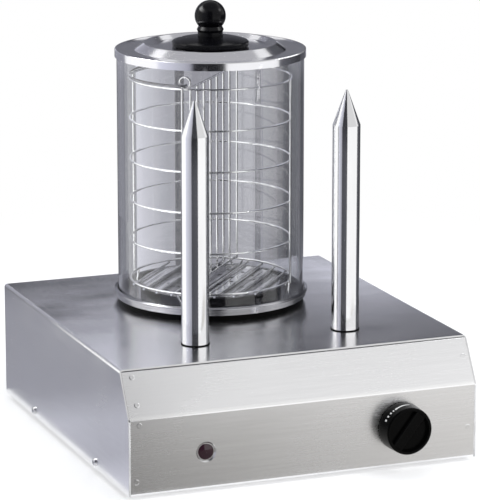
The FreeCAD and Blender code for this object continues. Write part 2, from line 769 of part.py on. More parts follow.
def spike(side):
    """Hollow bun spike with a pointed top and a threaded boss below the sheet."""
    foot = CASE_TOP + WASHER_H
    tip = CASE_TOP + SPIKE_H
    boss = UNDER_TOP - SPIKE_BOSS_H
    bore = HEATER_R + THREAD_GAP
    bore_end = boss + HEATER_H + HOLE_END
    shape = revolved([
        (bore, boss), (SPIKE_BOSS_R, boss), (SPIKE_BOSS_R, foot), (SPIKE_R, foot),
        (SPIKE_R, tip - SPIKE_CONE_H), (SPIKE_TIP_R, tip), (0, tip), (0, bore_end), (bore, bore_end)])
    shape.translate(V(side * SPIKE_X, FRONT_Y + SPIKE_SETBACK, 0))
    return shape


def spike_washers():
    """Thin black washers under the spikes."""
    return [tube(WASHER_R, SPIKE_BOSS_R + HOLE_GAP, WASHER_H, spot) for spot in spike_spots(CASE_TOP)]


def spike_nuts():
    """Nuts that hold the spikes from inside."""
    return [nut(SPIKE_NUT_R, SPIKE_BOSS_R + THREAD_GAP, SPIKE_NUT_H, spot)
            for spot in spike_spots(UNDER_TOP - SPIKE_NUT_H)]


def spike_heaters():
    """Cartridge heaters inside the spikes, with two lead stubs each."""
    foot = UNDER_TOP - SPIKE_BOSS_H
    shapes = []
    for spot in spike_spots(foot):
        shape = Part.makeCylinder(HEATER_R, HEATER_H, spot)
        for x in (-LEAD_X, LEAD_X):
            shape = shape.fuse(Part.makeCylinder(LEAD_R, LEAD_L, spot + V(x, 0, -LEAD_L)))
        shapes.append(shape)
    return shapes


# Lid

def lid_plate():
    """Pressed lid: skirt, edge bead, flat land, raised crest and a dished middle."""
    half = LID_T / 2
    land = GLASS_TOP + half
    edge = LID_TOP - half
    crest = LID_TOP - LID_LAND_DROP + LID_CREST_H - half
    dish = DISH_TOP - half
    out = LID_R - half
    middle = [
        V(out, LID_TOP - LID_SKIRT_H, 0), V(out, edge, 0), V(out - LID_EDGE_W / 2, edge, 0),
        V(out - LID_EDGE_W, land, 0), V(LID_STEP_R, land, 0), V(LID_CREST_R + LID_CREST_W / 2, crest, 0),
        V(LID_CREST_R - LID_CREST_W / 2, crest, 0), V(LID_DISH_R, dish, 0), V(0, dish, 0)]
    plate = turned(bent_strip(middle, LID_T, LID_BEND, in_xz))
    hole = Part.makeCylinder(M6_R + HOLE_GAP, LID_T + 2 * CUT, V(0, 0, DISH_TOP - LID_T - CUT))
    return at_tower(plate.cut(hole))


def lid_knob():
    """Moulded knob: domed flange, neck, collar and ball, with a threaded hole below."""
    foot = DISH_TOP
    rim = foot + FLANGE_RIM_H
    dome = foot + DOME_H
    neck = foot + NECK_H
    pinch = neck + PINCH_UP
    edge_r = FLANGE_R - FLANGE_EDGE_W
    ball = foot + BALL_H
    reach = math.sqrt(BALL_R ** 2 - PINCH_R ** 2)
    top = V(0, 0, ball + BALL_R)
    join = V(PINCH_R, 0, ball - reach)
    edges = [
        Part.makeLine(V(0, 0, foot), V(FLANGE_R - FLANGE_FOOT_EDGE, 0, foot)),
        Part.makeLine(V(FLANGE_R - FLANGE_FOOT_EDGE, 0, foot), V(FLANGE_R, 0, foot + FLANGE_FOOT_EDGE)),
        Part.makeLine(V(FLANGE_R, 0, foot + FLANGE_FOOT_EDGE), V(FLANGE_R, 0, rim - FLANGE_EDGE_H)),
        Part.makeLine(V(FLANGE_R, 0, rim - FLANGE_EDGE_H), V(edge_r, 0, rim)),
        Part.Arc(V(edge_r, 0, rim), V(DOME_MID_R, 0, rim + DOME_MID_H), V(NECK_R, 0, dome)).toShape(),
        Part.makeLine(V(NECK_R, 0, dome), V(NECK_R, 0, neck - COLLAR_H)),
        Part.makeLine(V(NECK_R, 0, neck - COLLAR_H), V(COLLAR_R, 0, neck)),
        Part.makeLine(V(COLLAR_R, 0, neck), V(PINCH_R, 0, pinch)),
        Part.makeLine(V(PINCH_R, 0, pinch), join),
        Part.Arc(join, V(BALL_R, 0, ball), top).toShape(),
        Part.makeLine(top, V(0, 0, foot))]
    knob = turned(Part.Face(Part.Wire(edges)))
    knob = knob.cut(Part.makeCylinder(M6_R + THREAD_GAP, KNOB_HOLE_DEPTH, V(0, 0, foot)))
    return at_tower(knob)


def lid_washer():
    """Washer under the lid for the knob's screw."""
    return at_tower(tube(LID_WASHER_R, M6_R + HOLE_GAP, WASHER_H, V(0, 0, DISH_TOP - LID_T - WASHER_H)))


def lid_screw():
    """Screw up through the lid into the knob."""
    foot = DISH_TOP - LID_T - WASHER_H
    length = LID_T + WASHER_H + KNOB_HOLE_DEPTH - HOLE_END
    return at_tower(screw(M6_R, M6_HEAD_R, M6_HEAD_H, length, V(0, 0, foot), -UP))


# Basket

def basket_rings():
    """Level rings of the basket."""
    rings = []
    for index in range(RING_COUNT):
        spot = V(0, 0, FIRST_RING + index * RING_PITCH)
        rings.append(at_basket(Part.makeTorus(BASKET_R, WIRE_R, spot)))
    return rings


def basket_uprights():
    """Four upright wires outside the rings."""
    low = FIRST_RING - WIRE_R
    high = LAST_RING + WIRE_R / 2
    shapes = []
    for index in range(UPRIGHT_COUNT):
        foot = polar(BASKET_R + CROSSING, 360 * index / UPRIGHT_COUNT, low)
        shapes.append(at_basket(Part.makeCylinder(WIRE_R, high - low, foot)))
    return shapes


def basket_floor():
    """Parallel floor wires under the lowest ring."""
    z = FIRST_RING - CROSSING
    shapes = []
    for offset in FLOOR_OFFSETS:
        reach = math.sqrt(BASKET_R ** 2 - offset ** 2) + WIRE_OVERHANG
        for side in (-1, 1):
            x = side * offset
            shapes.append(at_basket(rod(WIRE_R, V(x, -reach, z), V(x, reach, z))))
    return shapes


def basket_partition():
    """Fence across the basket: a wire at its foot, a wire at its top and bars between them."""
    reach = BASKET_R + WIRE_OVERHANG
    shapes = []
    for z in (PARTITION_FOOT, PARTITION_TOP):
        shapes.append(at_basket(rod(WIRE_R, V(0, -reach, z), V(0, reach, z))))
    for index in range(-BARS_EACH_SIDE, BARS_EACH_SIDE + 1):
        y = index * BAR_PITCH
        low = V(0, y, PARTITION_FOOT + WIRE_R + WELD_GAP)
        high = V(0, y, PARTITION_TOP - WIRE_R - WELD_GAP)
        shapes.append(at_basket(rod(WIRE_R, low, high)))
    return shapes


def basket_feet():
    """Four short V-shaped wire feet under the lowest ring."""
    high = FIRST_RING - 1.5 * WIRE_R - WELD_GAP
    low = LEDGE_Z + LOOSE_GAP + WIRE_R
    shapes = []
    for index in range(UPRIGHT_COUNT):
        bearing = 360 * index / UPRIGHT_COUNT
        across = polar(FOOT_SPREAD, bearing + 90)
        foot = polar(BASKET_R, bearing)
        up = V(0, 0, high)
        path = [foot + across + up, foot + V(0, 0, low), foot - across + up]
        shapes.append(at_basket(wire_along(path, WIRE_R, FOOT_BEND)))
    return shapes


def basket_eyes():
    """Loops on the partition's top wire that carry the bail."""
    shapes = []
    for side in (-1, 1):
        spot = V(0, side * EYE_OUT, EYE_Z)
        shapes.append(at_basket(Part.makeTorus(EYE_LOOP_R, WIRE_R, spot, BACK)))
    return shapes


def bail_handle():
    """Bail folded down on the top ring, to the left, with its ends turned in through the eyes."""
    pin_end = BAIL_R - BAIL_PIN
    bow = Part.Arc(V(-BAIL_NECK, BAIL_R, 0), V(-BAIL_REACH, 0, 0), V(-BAIL_NECK, -BAIL_R, 0)).toShape()
    edges = []
    for side in (1, -1):
        start = V(0, side * pin_end, 0)
        near = V(0, side * (BAIL_R - BAIL_BEND), 0)
        far = V(-BAIL_BEND, side * BAIL_R, 0)
        shift = BAIL_BEND * (1 - math.sqrt(0.5))
        middle = V(-shift, side * (BAIL_R - shift), 0)
        neck = V(-BAIL_NECK, side * BAIL_R, 0)
        leg = [Part.makeLine(start, near), Part.Arc(near, middle, far).toShape(), Part.makeLine(far, neck)]
        edges.extend(leg)
    edges.insert(3, bow)
    path = Part.Wire(Part.__sortEdges__(edges))
    section = Part.Wire(Part.makeCircle(WIRE_R, V(0, pin_end, 0), BACK))
    bail = path.makePipeShell([section], True, True)
    bail.rotate(V(0, 0, 0), BACK, -BAIL_DROOP)
    bail.translate(V(0, 0, PIVOT_Z))
    return at_basket(bail)


# Controls

def control_knob():
    """Round knob with a dished face, a grip bar across it and a hub for the shaft."""
    back = KNOB_GAP
    face = KNOB_GAP + KNOB_DEPTH
    wall = face - KNOB_DISH_DEPTH
    body = revolved([
        (KNOB_BACK_R, back), (KNOB_R, back), (KNOB_R, back + KNOB_SKIRT_H), (KNOB_FACE_R, face - KNOB_EDGE_R),
        (KNOB_FACE_R - KNOB_EDGE_R, face), (KNOB_DISH_R, face),
        (KNOB_DISH_R - KNOB_DISH_DRAFT, wall), (0, wall), (0, back + KNOB_BACK_DEPTH),
        (KNOB_BACK_R, back + KNOB_BACK_DEPTH)])
    hub = Part.makeCylinder(KNOB_HUB_R, KNOB_BACK_DEPTH, V(0, 0, back))
    bar_l = 2 * (KNOB_DISH_R - KNOB_GRIP_IN)
    bar = block((bar_l, KNOB_GRIP_W, KNOB_DISH_DEPTH - KNOB_GRIP_LOW), (0, 0, wall))
    crests = [edge for edge in bar.Edges
              if edge.CenterOfMass.z > face - KNOB_GRIP_LOW - FIT and abs(edge.CenterOfMass.y) > FIT]
    bar = bar.makeFillet(KNOB_GRIP_ROUND, crests)
    bar.rotate(V(0, 0, 0), UP, KNOB_GRIP_TURN)
    knob = body.fuse([hub, bar])
    knob = knob.cut(Part.makeCylinder(SHAFT_R + THREAD_GAP / 2, SHAFT_GRIP, V(0, 0, back)))
    turn = FreeCAD.Rotation(V(1, 0, 0), V(0, 0, 1), FRONT, "XYZ")
    knob.Placement = FreeCAD.Placement(V(KNOB_X, FRONT_Y, KNOB_Z), turn)
    return knob.removeSplitter()


def thermostat_shaft():
    """Round shaft from the thermostat into the knob."""
    start = V(KNOB_X, PANEL_BACK + SHAFT_IN - SHAFT_END, KNOB_Z)
    end = V(KNOB_X, FRONT_Y - KNOB_GAP - SHAFT_GRIP + SHAFT_END, KNOB_Z)
    return rod(SHAFT_R, start, end)


def thermostat_body():
    """Thermostat behind the front panel, with the shaft's bore and two tapped holes."""
    middle_y = PANEL_BACK + STAT_D / 2
    body = block((STAT_W, STAT_D, STAT_H), (KNOB_X, middle_y, KNOB_Z - STAT_H / 2))
    back = PANEL_BACK + STAT_D
    body = body.makeFillet(STAT_EDGE_R, [edge for edge in body.Edges if edge.CenterOfMass.y > back - CUT])
    cuts = [Part.makeCylinder(SHAFT_R + RUN_GAP, SHAFT_IN, V(KNOB_X, PANEL_BACK, KNOB_Z), BACK)]
    for spot in stat_screw_spots(PANEL_BACK):
        cuts.append(Part.makeCylinder(M4_R + THREAD_GAP, STAT_TAP, spot, BACK))
    body = body.cut(cuts)
    for x in (-STAT_BLADE_X, 0, STAT_BLADE_X):
        spot = (KNOB_X + x, back + BLADE_L / 2, KNOB_Z - STAT_BLADE_DROP)
        body = body.fuse(block((BLADE_W, BLADE_L, BLADE_T), spot))
    return body


def thermostat_screws():
    """Two screws that hold the thermostat, under the knob."""
    return [screw(M4_R, LOW_HEAD_R, LOW_HEAD_H, STAT_SCREW_L, spot, FRONT)
            for spot in stat_screw_spots(FRONT_Y)]


def sensor_bulb():
    """Thermostat bulb under the heat spreader, with its capillary tube."""
    z = SPREADER_Z - WELD_GAP - BULB_R
    y = TOWER.y + BULB_SETBACK
    bulb = rod(BULB_R, V(-BULB_L / 2, y, z), V(BULB_L / 2, y, z))
    drop = BULB_L / 2 + CAPILLARY_BEND + CAPILLARY_LEAD
    low = z - CAPILLARY_DROP
    stat_y = PANEL_BACK + STAT_D - STAT_PORT_IN
    stat_top = KNOB_Z + STAT_H / 2
    path = [
        V(BULB_L / 2 - CUT, y, z), V(drop, y, z), V(drop, y, low), V(KNOB_X, y - CAPILLARY_RUN, low),
        V(KNOB_X, stat_y, low), V(KNOB_X, stat_y, stat_top)]
    return bulb.fuse(wire_along(path, CAPILLARY_R, CAPILLARY_BEND))


def pilot_lamp_lens():
    """Coloured lens with a low dome, in the panel's dish."""
    top_r = LAMP_LENS_R - LAMP_LENS_BEVEL
    dome_r = (top_r ** 2 + LAMP_DOME_H ** 2) / (2 * LAMP_DOME_H)
    side_h = LAMP_LENS_H - LAMP_LENS_BEVEL / 2
    disc = Part.makeCylinder(LAMP_LENS_R, side_h)
    bevel = Part.makeCone(LAMP_LENS_R, top_r, LAMP_LENS_H - side_h, V(0, 0, side_h))
    ball = Part.makeSphere(dome_r, V(0, 0, LAMP_LENS_H + LAMP_DOME_H - dome_r))
    dome = ball.common(Part.makeCylinder(top_r, LAMP_DOME_H + CUT, V(0, 0, LAMP_LENS_H)))
    return aim(disc.fuse(bevel).fuse(dome), FRONT, V(LAMP_X, LAMP_SEAT, LAMP_Z))


def pilot_lamp_body():
    """Lamp holder through the panel, with two terminal blades."""
    body = Part.makeCylinder(LAMP_HOLE_R - HOLE_GAP, LAMP_BODY_H, V(LAMP_X, LAMP_SEAT, LAMP_Z), BACK)
    for x in (-LAMP_BLADE_X, LAMP_BLADE_X):
        spot = (LAMP_X + x, LAMP_SEAT + LAMP_BODY_H + BLADE_L / 2, LAMP_Z - BLADE_W / 2)
        body = body.fuse(block((BLADE_T, BLADE_L, BLADE_W), spot))
    return body


def pilot_lamp_nut():
    """Nut behind the panel that clamps the lamp holder."""
    return nut(LAMP_NUT_R, LAMP_HOLE_R, LAMP_NUT_H, V(LAMP_X, LAMP_SEAT + PANEL_T, LAMP_Z), BACK)


# Heater under the pan

def heat_spreader():
    """Aluminium disc against the pan's floor."""
    return at_tower(Part.makeCylinder(SPREADER_R, SPREADER_T, V(0, 0, SPREADER_Z)))


def heating_element():
    """Tubular ring element with two legs that point down."""
    sweep = 360 - ELEMENT_GAP_DEG
    section = Part.Face(Part.Wire(Part.makeCircle(ELEMENT_TUBE_R, V(ELEMENT_R, 0, 0), BACK)))
    ring = turned(section, sweep)
    for end in (ELEMENT_LEG_DEG, sweep - ELEMENT_LEG_DEG):
        angle = math.radians(end)
        spot = V(ELEMENT_R * math.cos(angle), ELEMENT_R * math.sin(angle), 0)
        ring = ring.fuse(rod(ELEMENT_TUBE_R - 1, spot, spot - UP * ELEMENT_LEG))
    ring.rotate(V(0, 0, 0), UP, 90 + ELEMENT_GAP_DEG / 2)
    ring.translate(V(0, 0, ELEMENT_Z))
    return at_tower(ring)


def element_clamp():
    """Bar across the element that presses it up."""
    bar = block((CLAMP_L, CLAMP_W, CLAMP_T), (0, 0, CLAMP_Z - CLAMP_T))
    return at_tower(bar.cut(Part.makeCylinder(M6_R + HOLE_GAP, CLAMP_T, V(0, 0, CLAMP_Z - CLAMP_T))))


def clamp_stud():
    """Stud welded under the spreader."""
    return at_tower(Part.makeCylinder(M6_R, STUD_L, V(0, 0, SPREADER_Z - STUD_L)))


def clamp_nut():
    """Nut on the stud, under the bar."""
    return at_tower(nut(NUT_R, M6_R + THREAD_GAP, NUT_H, V(0, 0, CLAMP_Z - CLAMP_T - NUT_H)))


def thermal_cutout():
    """Disc-shaped overheat cut-out under the spreader, with two terminal blades."""
    top = SPREADER_Z - WELD_GAP
    spot = V(0, CUTOUT_SETBACK, top - CUTOUT_H)
    shape = Part.makeCylinder(CUTOUT_R, CUTOUT_H, spot)
    for x in (-CUTOUT_BLADE_X, CUTOUT_BLADE_X):
        shape = shape.fuse(block((BLADE_T, BLADE_W, BLADE_L), (x, CUTOUT_SETBACK, spot.z - BLADE_L)))
    return at_tower(shape)


# Wiring points

def cable_gland():
    """Cord entry: hexagon and nose outside, thread through the rear panel."""
    spot = V(GLAND_X, BACK_Y, FOOT_STAND + GLAND_H)
    body = hexagon(GLAND_HEX_R, GLAND_HEX_H, spot, BACK)
    nose_l = GLAND_OUT - GLAND_HEX_H
    nose = Part.makeCone(GLAND_NOSE_FOOT_R, GLAND_NOSE_R, nose_l, spot + BACK * GLAND_HEX_H, BACK)
    inside = PANEL_T + GLAND_THREAD_IN
    thread = Part.makeCylinder(GLAND_THREAD_R, inside, spot - BACK * inside, BACK)
    bore = rod(GLAND_BORE_R, spot - BACK * (inside + CUT), spot + BACK * (GLAND_OUT + CUT))
    return body.fuse([nose, thread]).cut(bore)


def gland_nut():
    """Lock nut of the gland, inside."""
    spot = V(GLAND_X, BACK_Y - PANEL_T - GLAND_NUT_H, FOOT_STAND + GLAND_H)
    return nut(GLAND_HEX_R, GLAND_THREAD_R + THREAD_GAP, GLAND_NUT_H, spot, BACK)


def terminal_block():
    """Terminal block on the bottom plate, with a screw well and a wire hole for each pole."""
    y = BACK_Y - BLOCK_AHEAD
    shape = block((BLOCK_L, BLOCK_W, BLOCK_H), (BLOCK_X, y, FLOOR_Z))
    for index in range(BLOCK_POLES):
        x = BLOCK_X + (index - (BLOCK_POLES - 1) / 2) * BLOCK_L / BLOCK_POLES
        well = Part.makeCylinder(BLOCK_HOLE_R, BLOCK_WELL, V(x, y, FLOOR_Z + BLOCK_H - BLOCK_WELL))
        mouth = V(x, y - BLOCK_W / 2, FLOOR_Z + BLOCK_WIRE_H)
        passage = Part.makeCylinder(BLOCK_WIRE_R, BLOCK_W, mouth, BACK)
        shape = shape.cut([well, passage])
    return shape


def terminal_screws():
    """Grub screws in the terminal block's wells."""
    y = BACK_Y - BLOCK_AHEAD
    shapes = []
    for index in range(BLOCK_POLES):
        x = BLOCK_X + (index - (BLOCK_POLES - 1) / 2) * BLOCK_L / BLOCK_POLES
        spot = V(x, y, FLOOR_Z + BLOCK_H - BLOCK_WELL)
        grub = Part.makeCylinder(BLOCK_HOLE_R - THREAD_GAP, GRUB_H, spot)
        slot_size = (2 * BLOCK_HOLE_R, GRUB_SLOT_W, GRUB_SLOT_DEPTH)
        slot = block(slot_size, (x, y, spot.z + GRUB_H - GRUB_SLOT_DEPTH))
        shapes.append(grub.cut(slot))
    return shapes


def earth_stud():
    """Earth stud through the bottom plate."""
    return Part.makeCylinder(M4_R, EARTH_L, V(EARTH_X, BACK_Y - BLOCK_AHEAD, PLATE_Z))


def earth_nut():
    """Nut on the earth stud."""
    return nut(M4_NUT_R, M4_R + THREAD_GAP, M4_NUT_H, V(EARTH_X, BACK_Y - BLOCK_AHEAD, FLOOR_Z))


PARTS = {
    "top_cover": top_cover,
    "front_panel": front_panel,
    "rear_panel": rear_panel,
    "bottom_plate": bottom_plate,
    "rear_angles": rear_angles,
    "rubber_feet": rubber_feet,
    "foot_screws": foot_screws,
    "foot_nuts": foot_nuts,
    "side_screws": side_screws,
    "rear_screws": rear_screws,
    "insulating_ring": insulating_ring,
    "water_pan": water_pan,
    "pan_brackets": pan_brackets,
    "strainer_plate": strainer_plate,
    "glass_cylinder": glass_cylinder,
    "spike_left": lambda: spike(-1),
    "spike_right": lambda: spike(1),
    "spike_washers": spike_washers,
    "spike_nuts": spike_nuts,
    "spike_heaters": spike_heaters,
    "lid_plate": lid_plate,
    "lid_knob": lid_knob,
    "lid_washer": lid_washer,
    "lid_screw": lid_screw,
    "basket_rings": basket_rings,
    "basket_uprights": basket_uprights,
    "basket_floor": basket_floor,
    "basket_partition": basket_partition,
    "basket_feet": basket_feet,
    "basket_eyes": basket_eyes,
    "bail_handle": bail_handle,
    "control_knob": control_knob,
    "thermostat_shaft": thermostat_shaft,
    "thermostat_body": thermostat_body,
    "thermostat_screws": thermostat_screws,
    "sensor_bulb": sensor_bulb,
    "pilot_lamp_lens": pilot_lamp_lens,
    "pilot_lamp_body": pilot_lamp_body,
    "pilot_lamp_nut": pilot_lamp_nut,
    "heat_spreader": heat_spreader,
    "heating_element": heating_element,
    "element_clamp": element_clamp,
    "clamp_stud": clamp_stud,
    "clamp_nut": clamp_nut,
    "thermal_cutout": thermal_cutout,
    "cable_gland": cable_gland,
    "gland_nut": gland_nut,
    "terminal_block": terminal_block,
    "terminal_screws": terminal_screws,
    "earth_stud": earth_stud,
    "earth_nut": earth_nut,
}


def main():
    """Build every piece and write one STEP file for each node."""
    os.makedirs("parts", exist_ok=True)
    for name, make in PARTS.items():
        made = make()
        shape = Part.makeCompound(made) if isinstance(made, list) else made
        if not shape.isValid():
            print("not valid:", name)
        shape.exportStep("parts/" + name + ".step")
        box = shape.BoundBox
        print("%-20s solids %2d  volume %10.1f  z %7.2f to %7.2f" % (
            name, len(shape.Solids), shape.Volume, box.ZMin, box.ZMax))


main()
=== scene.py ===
"""Looks of the hot dog toaster: finishes for every piece, small fittings, floor, light and camera.

Metres, +Z up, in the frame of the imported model: its origin is on the floor under the middle of
the machine, -Y is towards the front panel and +X towards the control knob.
"""

import math
from random import Random

import bmesh
import bpy
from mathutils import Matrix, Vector


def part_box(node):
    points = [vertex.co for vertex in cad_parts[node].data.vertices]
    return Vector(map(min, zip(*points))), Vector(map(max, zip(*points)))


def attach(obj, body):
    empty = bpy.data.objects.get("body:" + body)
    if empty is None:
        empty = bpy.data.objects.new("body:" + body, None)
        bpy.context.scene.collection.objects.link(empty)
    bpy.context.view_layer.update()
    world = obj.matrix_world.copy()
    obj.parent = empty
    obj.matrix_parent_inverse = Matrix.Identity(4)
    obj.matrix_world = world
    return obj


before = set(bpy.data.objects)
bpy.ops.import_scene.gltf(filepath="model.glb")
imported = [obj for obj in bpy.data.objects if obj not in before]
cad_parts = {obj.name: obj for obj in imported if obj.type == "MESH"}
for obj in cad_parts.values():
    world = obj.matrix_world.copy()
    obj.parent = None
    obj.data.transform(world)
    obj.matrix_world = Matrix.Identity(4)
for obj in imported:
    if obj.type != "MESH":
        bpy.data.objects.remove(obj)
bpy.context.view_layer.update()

MM = 0.001

# Camera
CAMERA_AT = (-1.1174, -2.8718, 0.9142)
CAMERA_TURN = (76.88, 0.0, -21.40)       # degrees
CAMERA_LENS = 215.5                      # mm
SENSOR_WIDTH = 36.0                      # mm

# Tower
TOWER_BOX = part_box("glass_cylinder")
TOWER_X = (TOWER_BOX[0].x + TOWER_BOX[1].x) / 2
TOWER_Y = (TOWER_BOX[0].y + TOWER_BOX[1].y) / 2

# Casing
CASE_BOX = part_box("top_cover")
FRONT_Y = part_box("front_panel")[0].y
FOLD_Z = 83.0 * MM                       # fold between the front's upright and sloped parts
SLOPE_TOP_Z = CASE_BOX[1].z
SLOPE_SETBACK = 27.0 * MM                # how far the slope leans back on its way up
FOLD_HIGHLIGHT_LIFT = 1.3 * MM                     # middle of the white band painted along the fold as its highlight, above the fold
FOLD_HIGHLIGHT_CORE = 0.3 * MM                     # half the height where the painted highlight is full white
FOLD_HIGHLIGHT_WIDTH = 2.4 * MM                    # where the painted highlight has faded out, from its middle

# Spot welds on the front, in mm: (x, height) of each, and a dimple's (radius, height) outline
WELD_SPOTS = ((-177.3, 120.9), (-177.4, 96.2), (-177.7, 77.5), (-181.2, 19.7),
              (181.0, 109.1), (180.1, 38.0))
WELD_OUTLINE = ((0, 0.01), (0.8, 0.015), (1.6, 0.055), (2.0, 0.055), (2.9, 0.01), (3.0, -0.1), (0, -0.1))

# Hems on the front edges of the cover's side sheets
HEM_R = 1.15 * MM
HEM_SIDES = 12
HEM_SETBACK = 0.6 * MM                   # hem's axis behind the front panel's face
HEM_FOOT = 0.3 * MM                      # clearance above the cover's lower edge
HEM_HEAD = 1.2 * MM                      # clearance under the fold

# Knob, in mm out of the panel: its side tapers from the skirt to the face
KNOB_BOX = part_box("control_knob")
KNOB_X = (KNOB_BOX[0].x + KNOB_BOX[1].x) / 2
KNOB_Z = (KNOB_BOX[0].z + KNOB_BOX[1].z) / 2
KNOB_GAP = 1.0
SKIRT_R = 25.5
SKIRT_OUT = 4.0
SIDE_LENGTH = 16.5
SIDE_TAPER = 0.9

# Heat scale printed on the knob's side
MARK_LIFT = 0.06                         # mm
DOTS_OUT = 11.9                          # mm out of the panel
DOTS = ((153.0, 2.3, 3.0), (142.5, 2.2, 2.8), (132.8, 2.0, 2.6), (124.4, 1.7, 2.4))
ARC_ANGLES = (119.5, 80.0)               # degrees from +X
ARC_NEAR = (10.8, 9.6)                   # mm out of the panel at its two ends
ARC_FAR = (13.4, 10.6)

# Basket
RING_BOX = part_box("basket_rings")
RING_COUNT = 6
WIRE_R = 1.2 * MM
UPRIGHT_ANGLES = (50, 140, 230, 320)     # degrees from +X
BEAD_OUTLINE = ((0, -0.75), (0.55, -0.6), (0.95, -0.1), (0.9, 0.3), (0.5, 0.7), (0, 0.8))
BEAD_SIZES = (1.45, 1.75)                # mm
BEAD_TILT = 0.2
BEAD_SQUASH = (0.8, 1.1)

# Studio. Angles are degrees to the right of the camera, seen from the machine.
CAMERA_SIDE = -111.4                     # the camera's own direction, degrees from +X
FLOOR_HALF = 8.0
FLOOR_TONE = 0.86
FLOOR_LIFT = 0.35                        # glow added to the lit floor near the machine
FLOOR_FADE = (0.55, 1.1)                 # distances where plain white begins and takes over
WORLD_SOFT = (0.93, 0.96, 1.0)
WORLD_STRENGTH = 0.55
CARD_STEP = 2.5                          # degrees between a card's columns
MAT_COLUMNS = 12
MAT_Z = 1.5 * MM                         # the reflected mats lie just above the floor
NEAR_R = 0.60
WIDE_R = 1.10
GLASS_R = 0.40                           # cards round the tower
COOL = (0.93, 0.94, 1.07)
MILD = (0.96, 0.96, 1.07)
PLAIN = (1.0, 1.0, 1.0)
WARM = (1.02, 1.0, 0.97)
LAMPS = (                                # name, place, aim, size and power in watts
    ("key", (1.7, -1.9, 2.2), (0, 0, 0.15), 1.3, 34),
    ("fill", (-2.2, -1.4, 1.8), (0, 0, 0.15), 1.6, 14),
    ("top", (0.2, 0.6, 2.6), (0, 0, 0.1), 1.6, 16),
)


# Materials

class Finish:
    """A procedural material and the few node set-ups that the finishes share.

    A noise's scale is about its number of features in a metre.
    """

    def __init__(self, name, sockets):
        self.material = bpy.data.materials.new(name)
        self.material.use_nodes = True
        self.tree = self.material.node_tree
        self.shader = self.tree.nodes["Principled BSDF"]
        for socket, value in sockets.items():
            self.shader.inputs[socket].default_value = value
        self.place = self.add("ShaderNodeTexCoord").outputs["Object"]

    def add(self, kind, **values):
        node = self.tree.nodes.new(kind)
        for key, value in values.items():
            setattr(node, key, value)
        return node

    def join(self, start, end):
        self.tree.links.new(start, end)

    def moved(self, scale, offset=(0, 0, 0)):
        """Object coordinates, offset and then scaled."""
        node = self.add("ShaderNodeMapping", vector_type="POINT")
        node.inputs["Scale"].default_value = scale
        node.inputs["Location"].default_value = [-o * s for o, s in zip(offset, scale)]
        self.join(self.place, node.inputs["Vector"])
        return node.outputs["Vector"]

    def noise(self, scale, detail=3.0, stretch=(1, 1, 1), vector=None):
        node = self.add("ShaderNodeTexNoise")
        node.inputs["Scale"].default_value = scale
        node.inputs["Detail"].default_value = detail
        self.join(vector or self.moved(stretch), node.inputs["Vector"])
        return node.outputs["Fac"]

    def facing_up(self):
        """1 on level faces that look up, and 0 on upright ones."""
        apart = self.add("ShaderNodeSeparateXYZ")
        self.join(self.add("ShaderNodeTexCoord").outputs["Normal"], apart.inputs[0])
        return self.spread(apart.outputs["Z"], 0, 1, 0.5, 0.9)

    def streaks(self, scale, bearing, along):
        """Noise drawn out along a level bearing, in degrees from +X."""
        turn = self.add("ShaderNodeMapping", vector_type="POINT")
        turn.inputs["Rotation"].default_value = (0, 0, math.radians(-bearing))
        self.join(self.place, turn.inputs["Vector"])
        draw = self.add("ShaderNodeMapping", vector_type="POINT")
        draw.inputs["Scale"].default_value = (along, 1, 1)
        self.join(turn.outputs["Vector"], draw.inputs["Vector"])
        return self.noise(scale, 3.0, vector=draw.outputs["Vector"])

    def turned(self, centre):
        """Distance from an upright axis, as a vector for a noise: lines turned round that axis."""
        node = self.add("ShaderNodeVectorMath", operation="LENGTH")
        self.join(self.moved((1, 1, 0), (centre[0], centre[1], 0)), node.inputs[0])
        joined = self.add("ShaderNodeCombineXYZ")
        self.join(node.outputs["Value"], joined.inputs["X"])
        return joined.outputs["Vector"]

    def spread(self, value, low, high, start=0.3, end=0.7):
        """A value from start to end becomes one from low to high."""
        node = self.add("ShaderNodeMapRange")
        for key, number in (("From Min", start), ("From Max", end), ("To Min", low), ("To Max", high)):
            node.inputs[key].default_value = number
        self.join(value, node.inputs["Value"])
        return node.outputs["Result"]

    def mixed(self, factor, first, second):
        """Colour between first and second."""
        node = self.add("ShaderNodeMix", data_type="RGBA")
        self.join(factor, node.inputs["Factor"])
        for socket, colour in ((6, first), (7, second)):
            if isinstance(colour, bpy.types.NodeSocket):
                self.join(colour, node.inputs[socket])
            else:
                node.inputs[socket].default_value = (*colour, 1)
        return node.outputs[2]

    def combine(self, operation, first, second):
        node = self.add("ShaderNodeMath", operation=operation)
        for index, value in enumerate((first, second)):
            if isinstance(value, bpy.types.NodeSocket):
                self.join(value, node.inputs[index])
            else:
                node.inputs[index].default_value = value
        return node.outputs["Value"]

    def colour(self, output):
        self.join(output, self.shader.inputs["Base Color"])

    def rough(self, output):
        self.join(output, self.shader.inputs["Roughness"])

    def bump(self, height, strength, distance):
        node = self.add("ShaderNodeBump")
        node.inputs["Strength"].default_value = strength
        node.inputs["Distance"].default_value = distance
        self.join(height, node.inputs["Height"])
        self.join(node.outputs["Normal"], self.shader.inputs["Normal"])


def scaled(colour, factor):
    return tuple(min(1.0, c * factor) for c in colour)


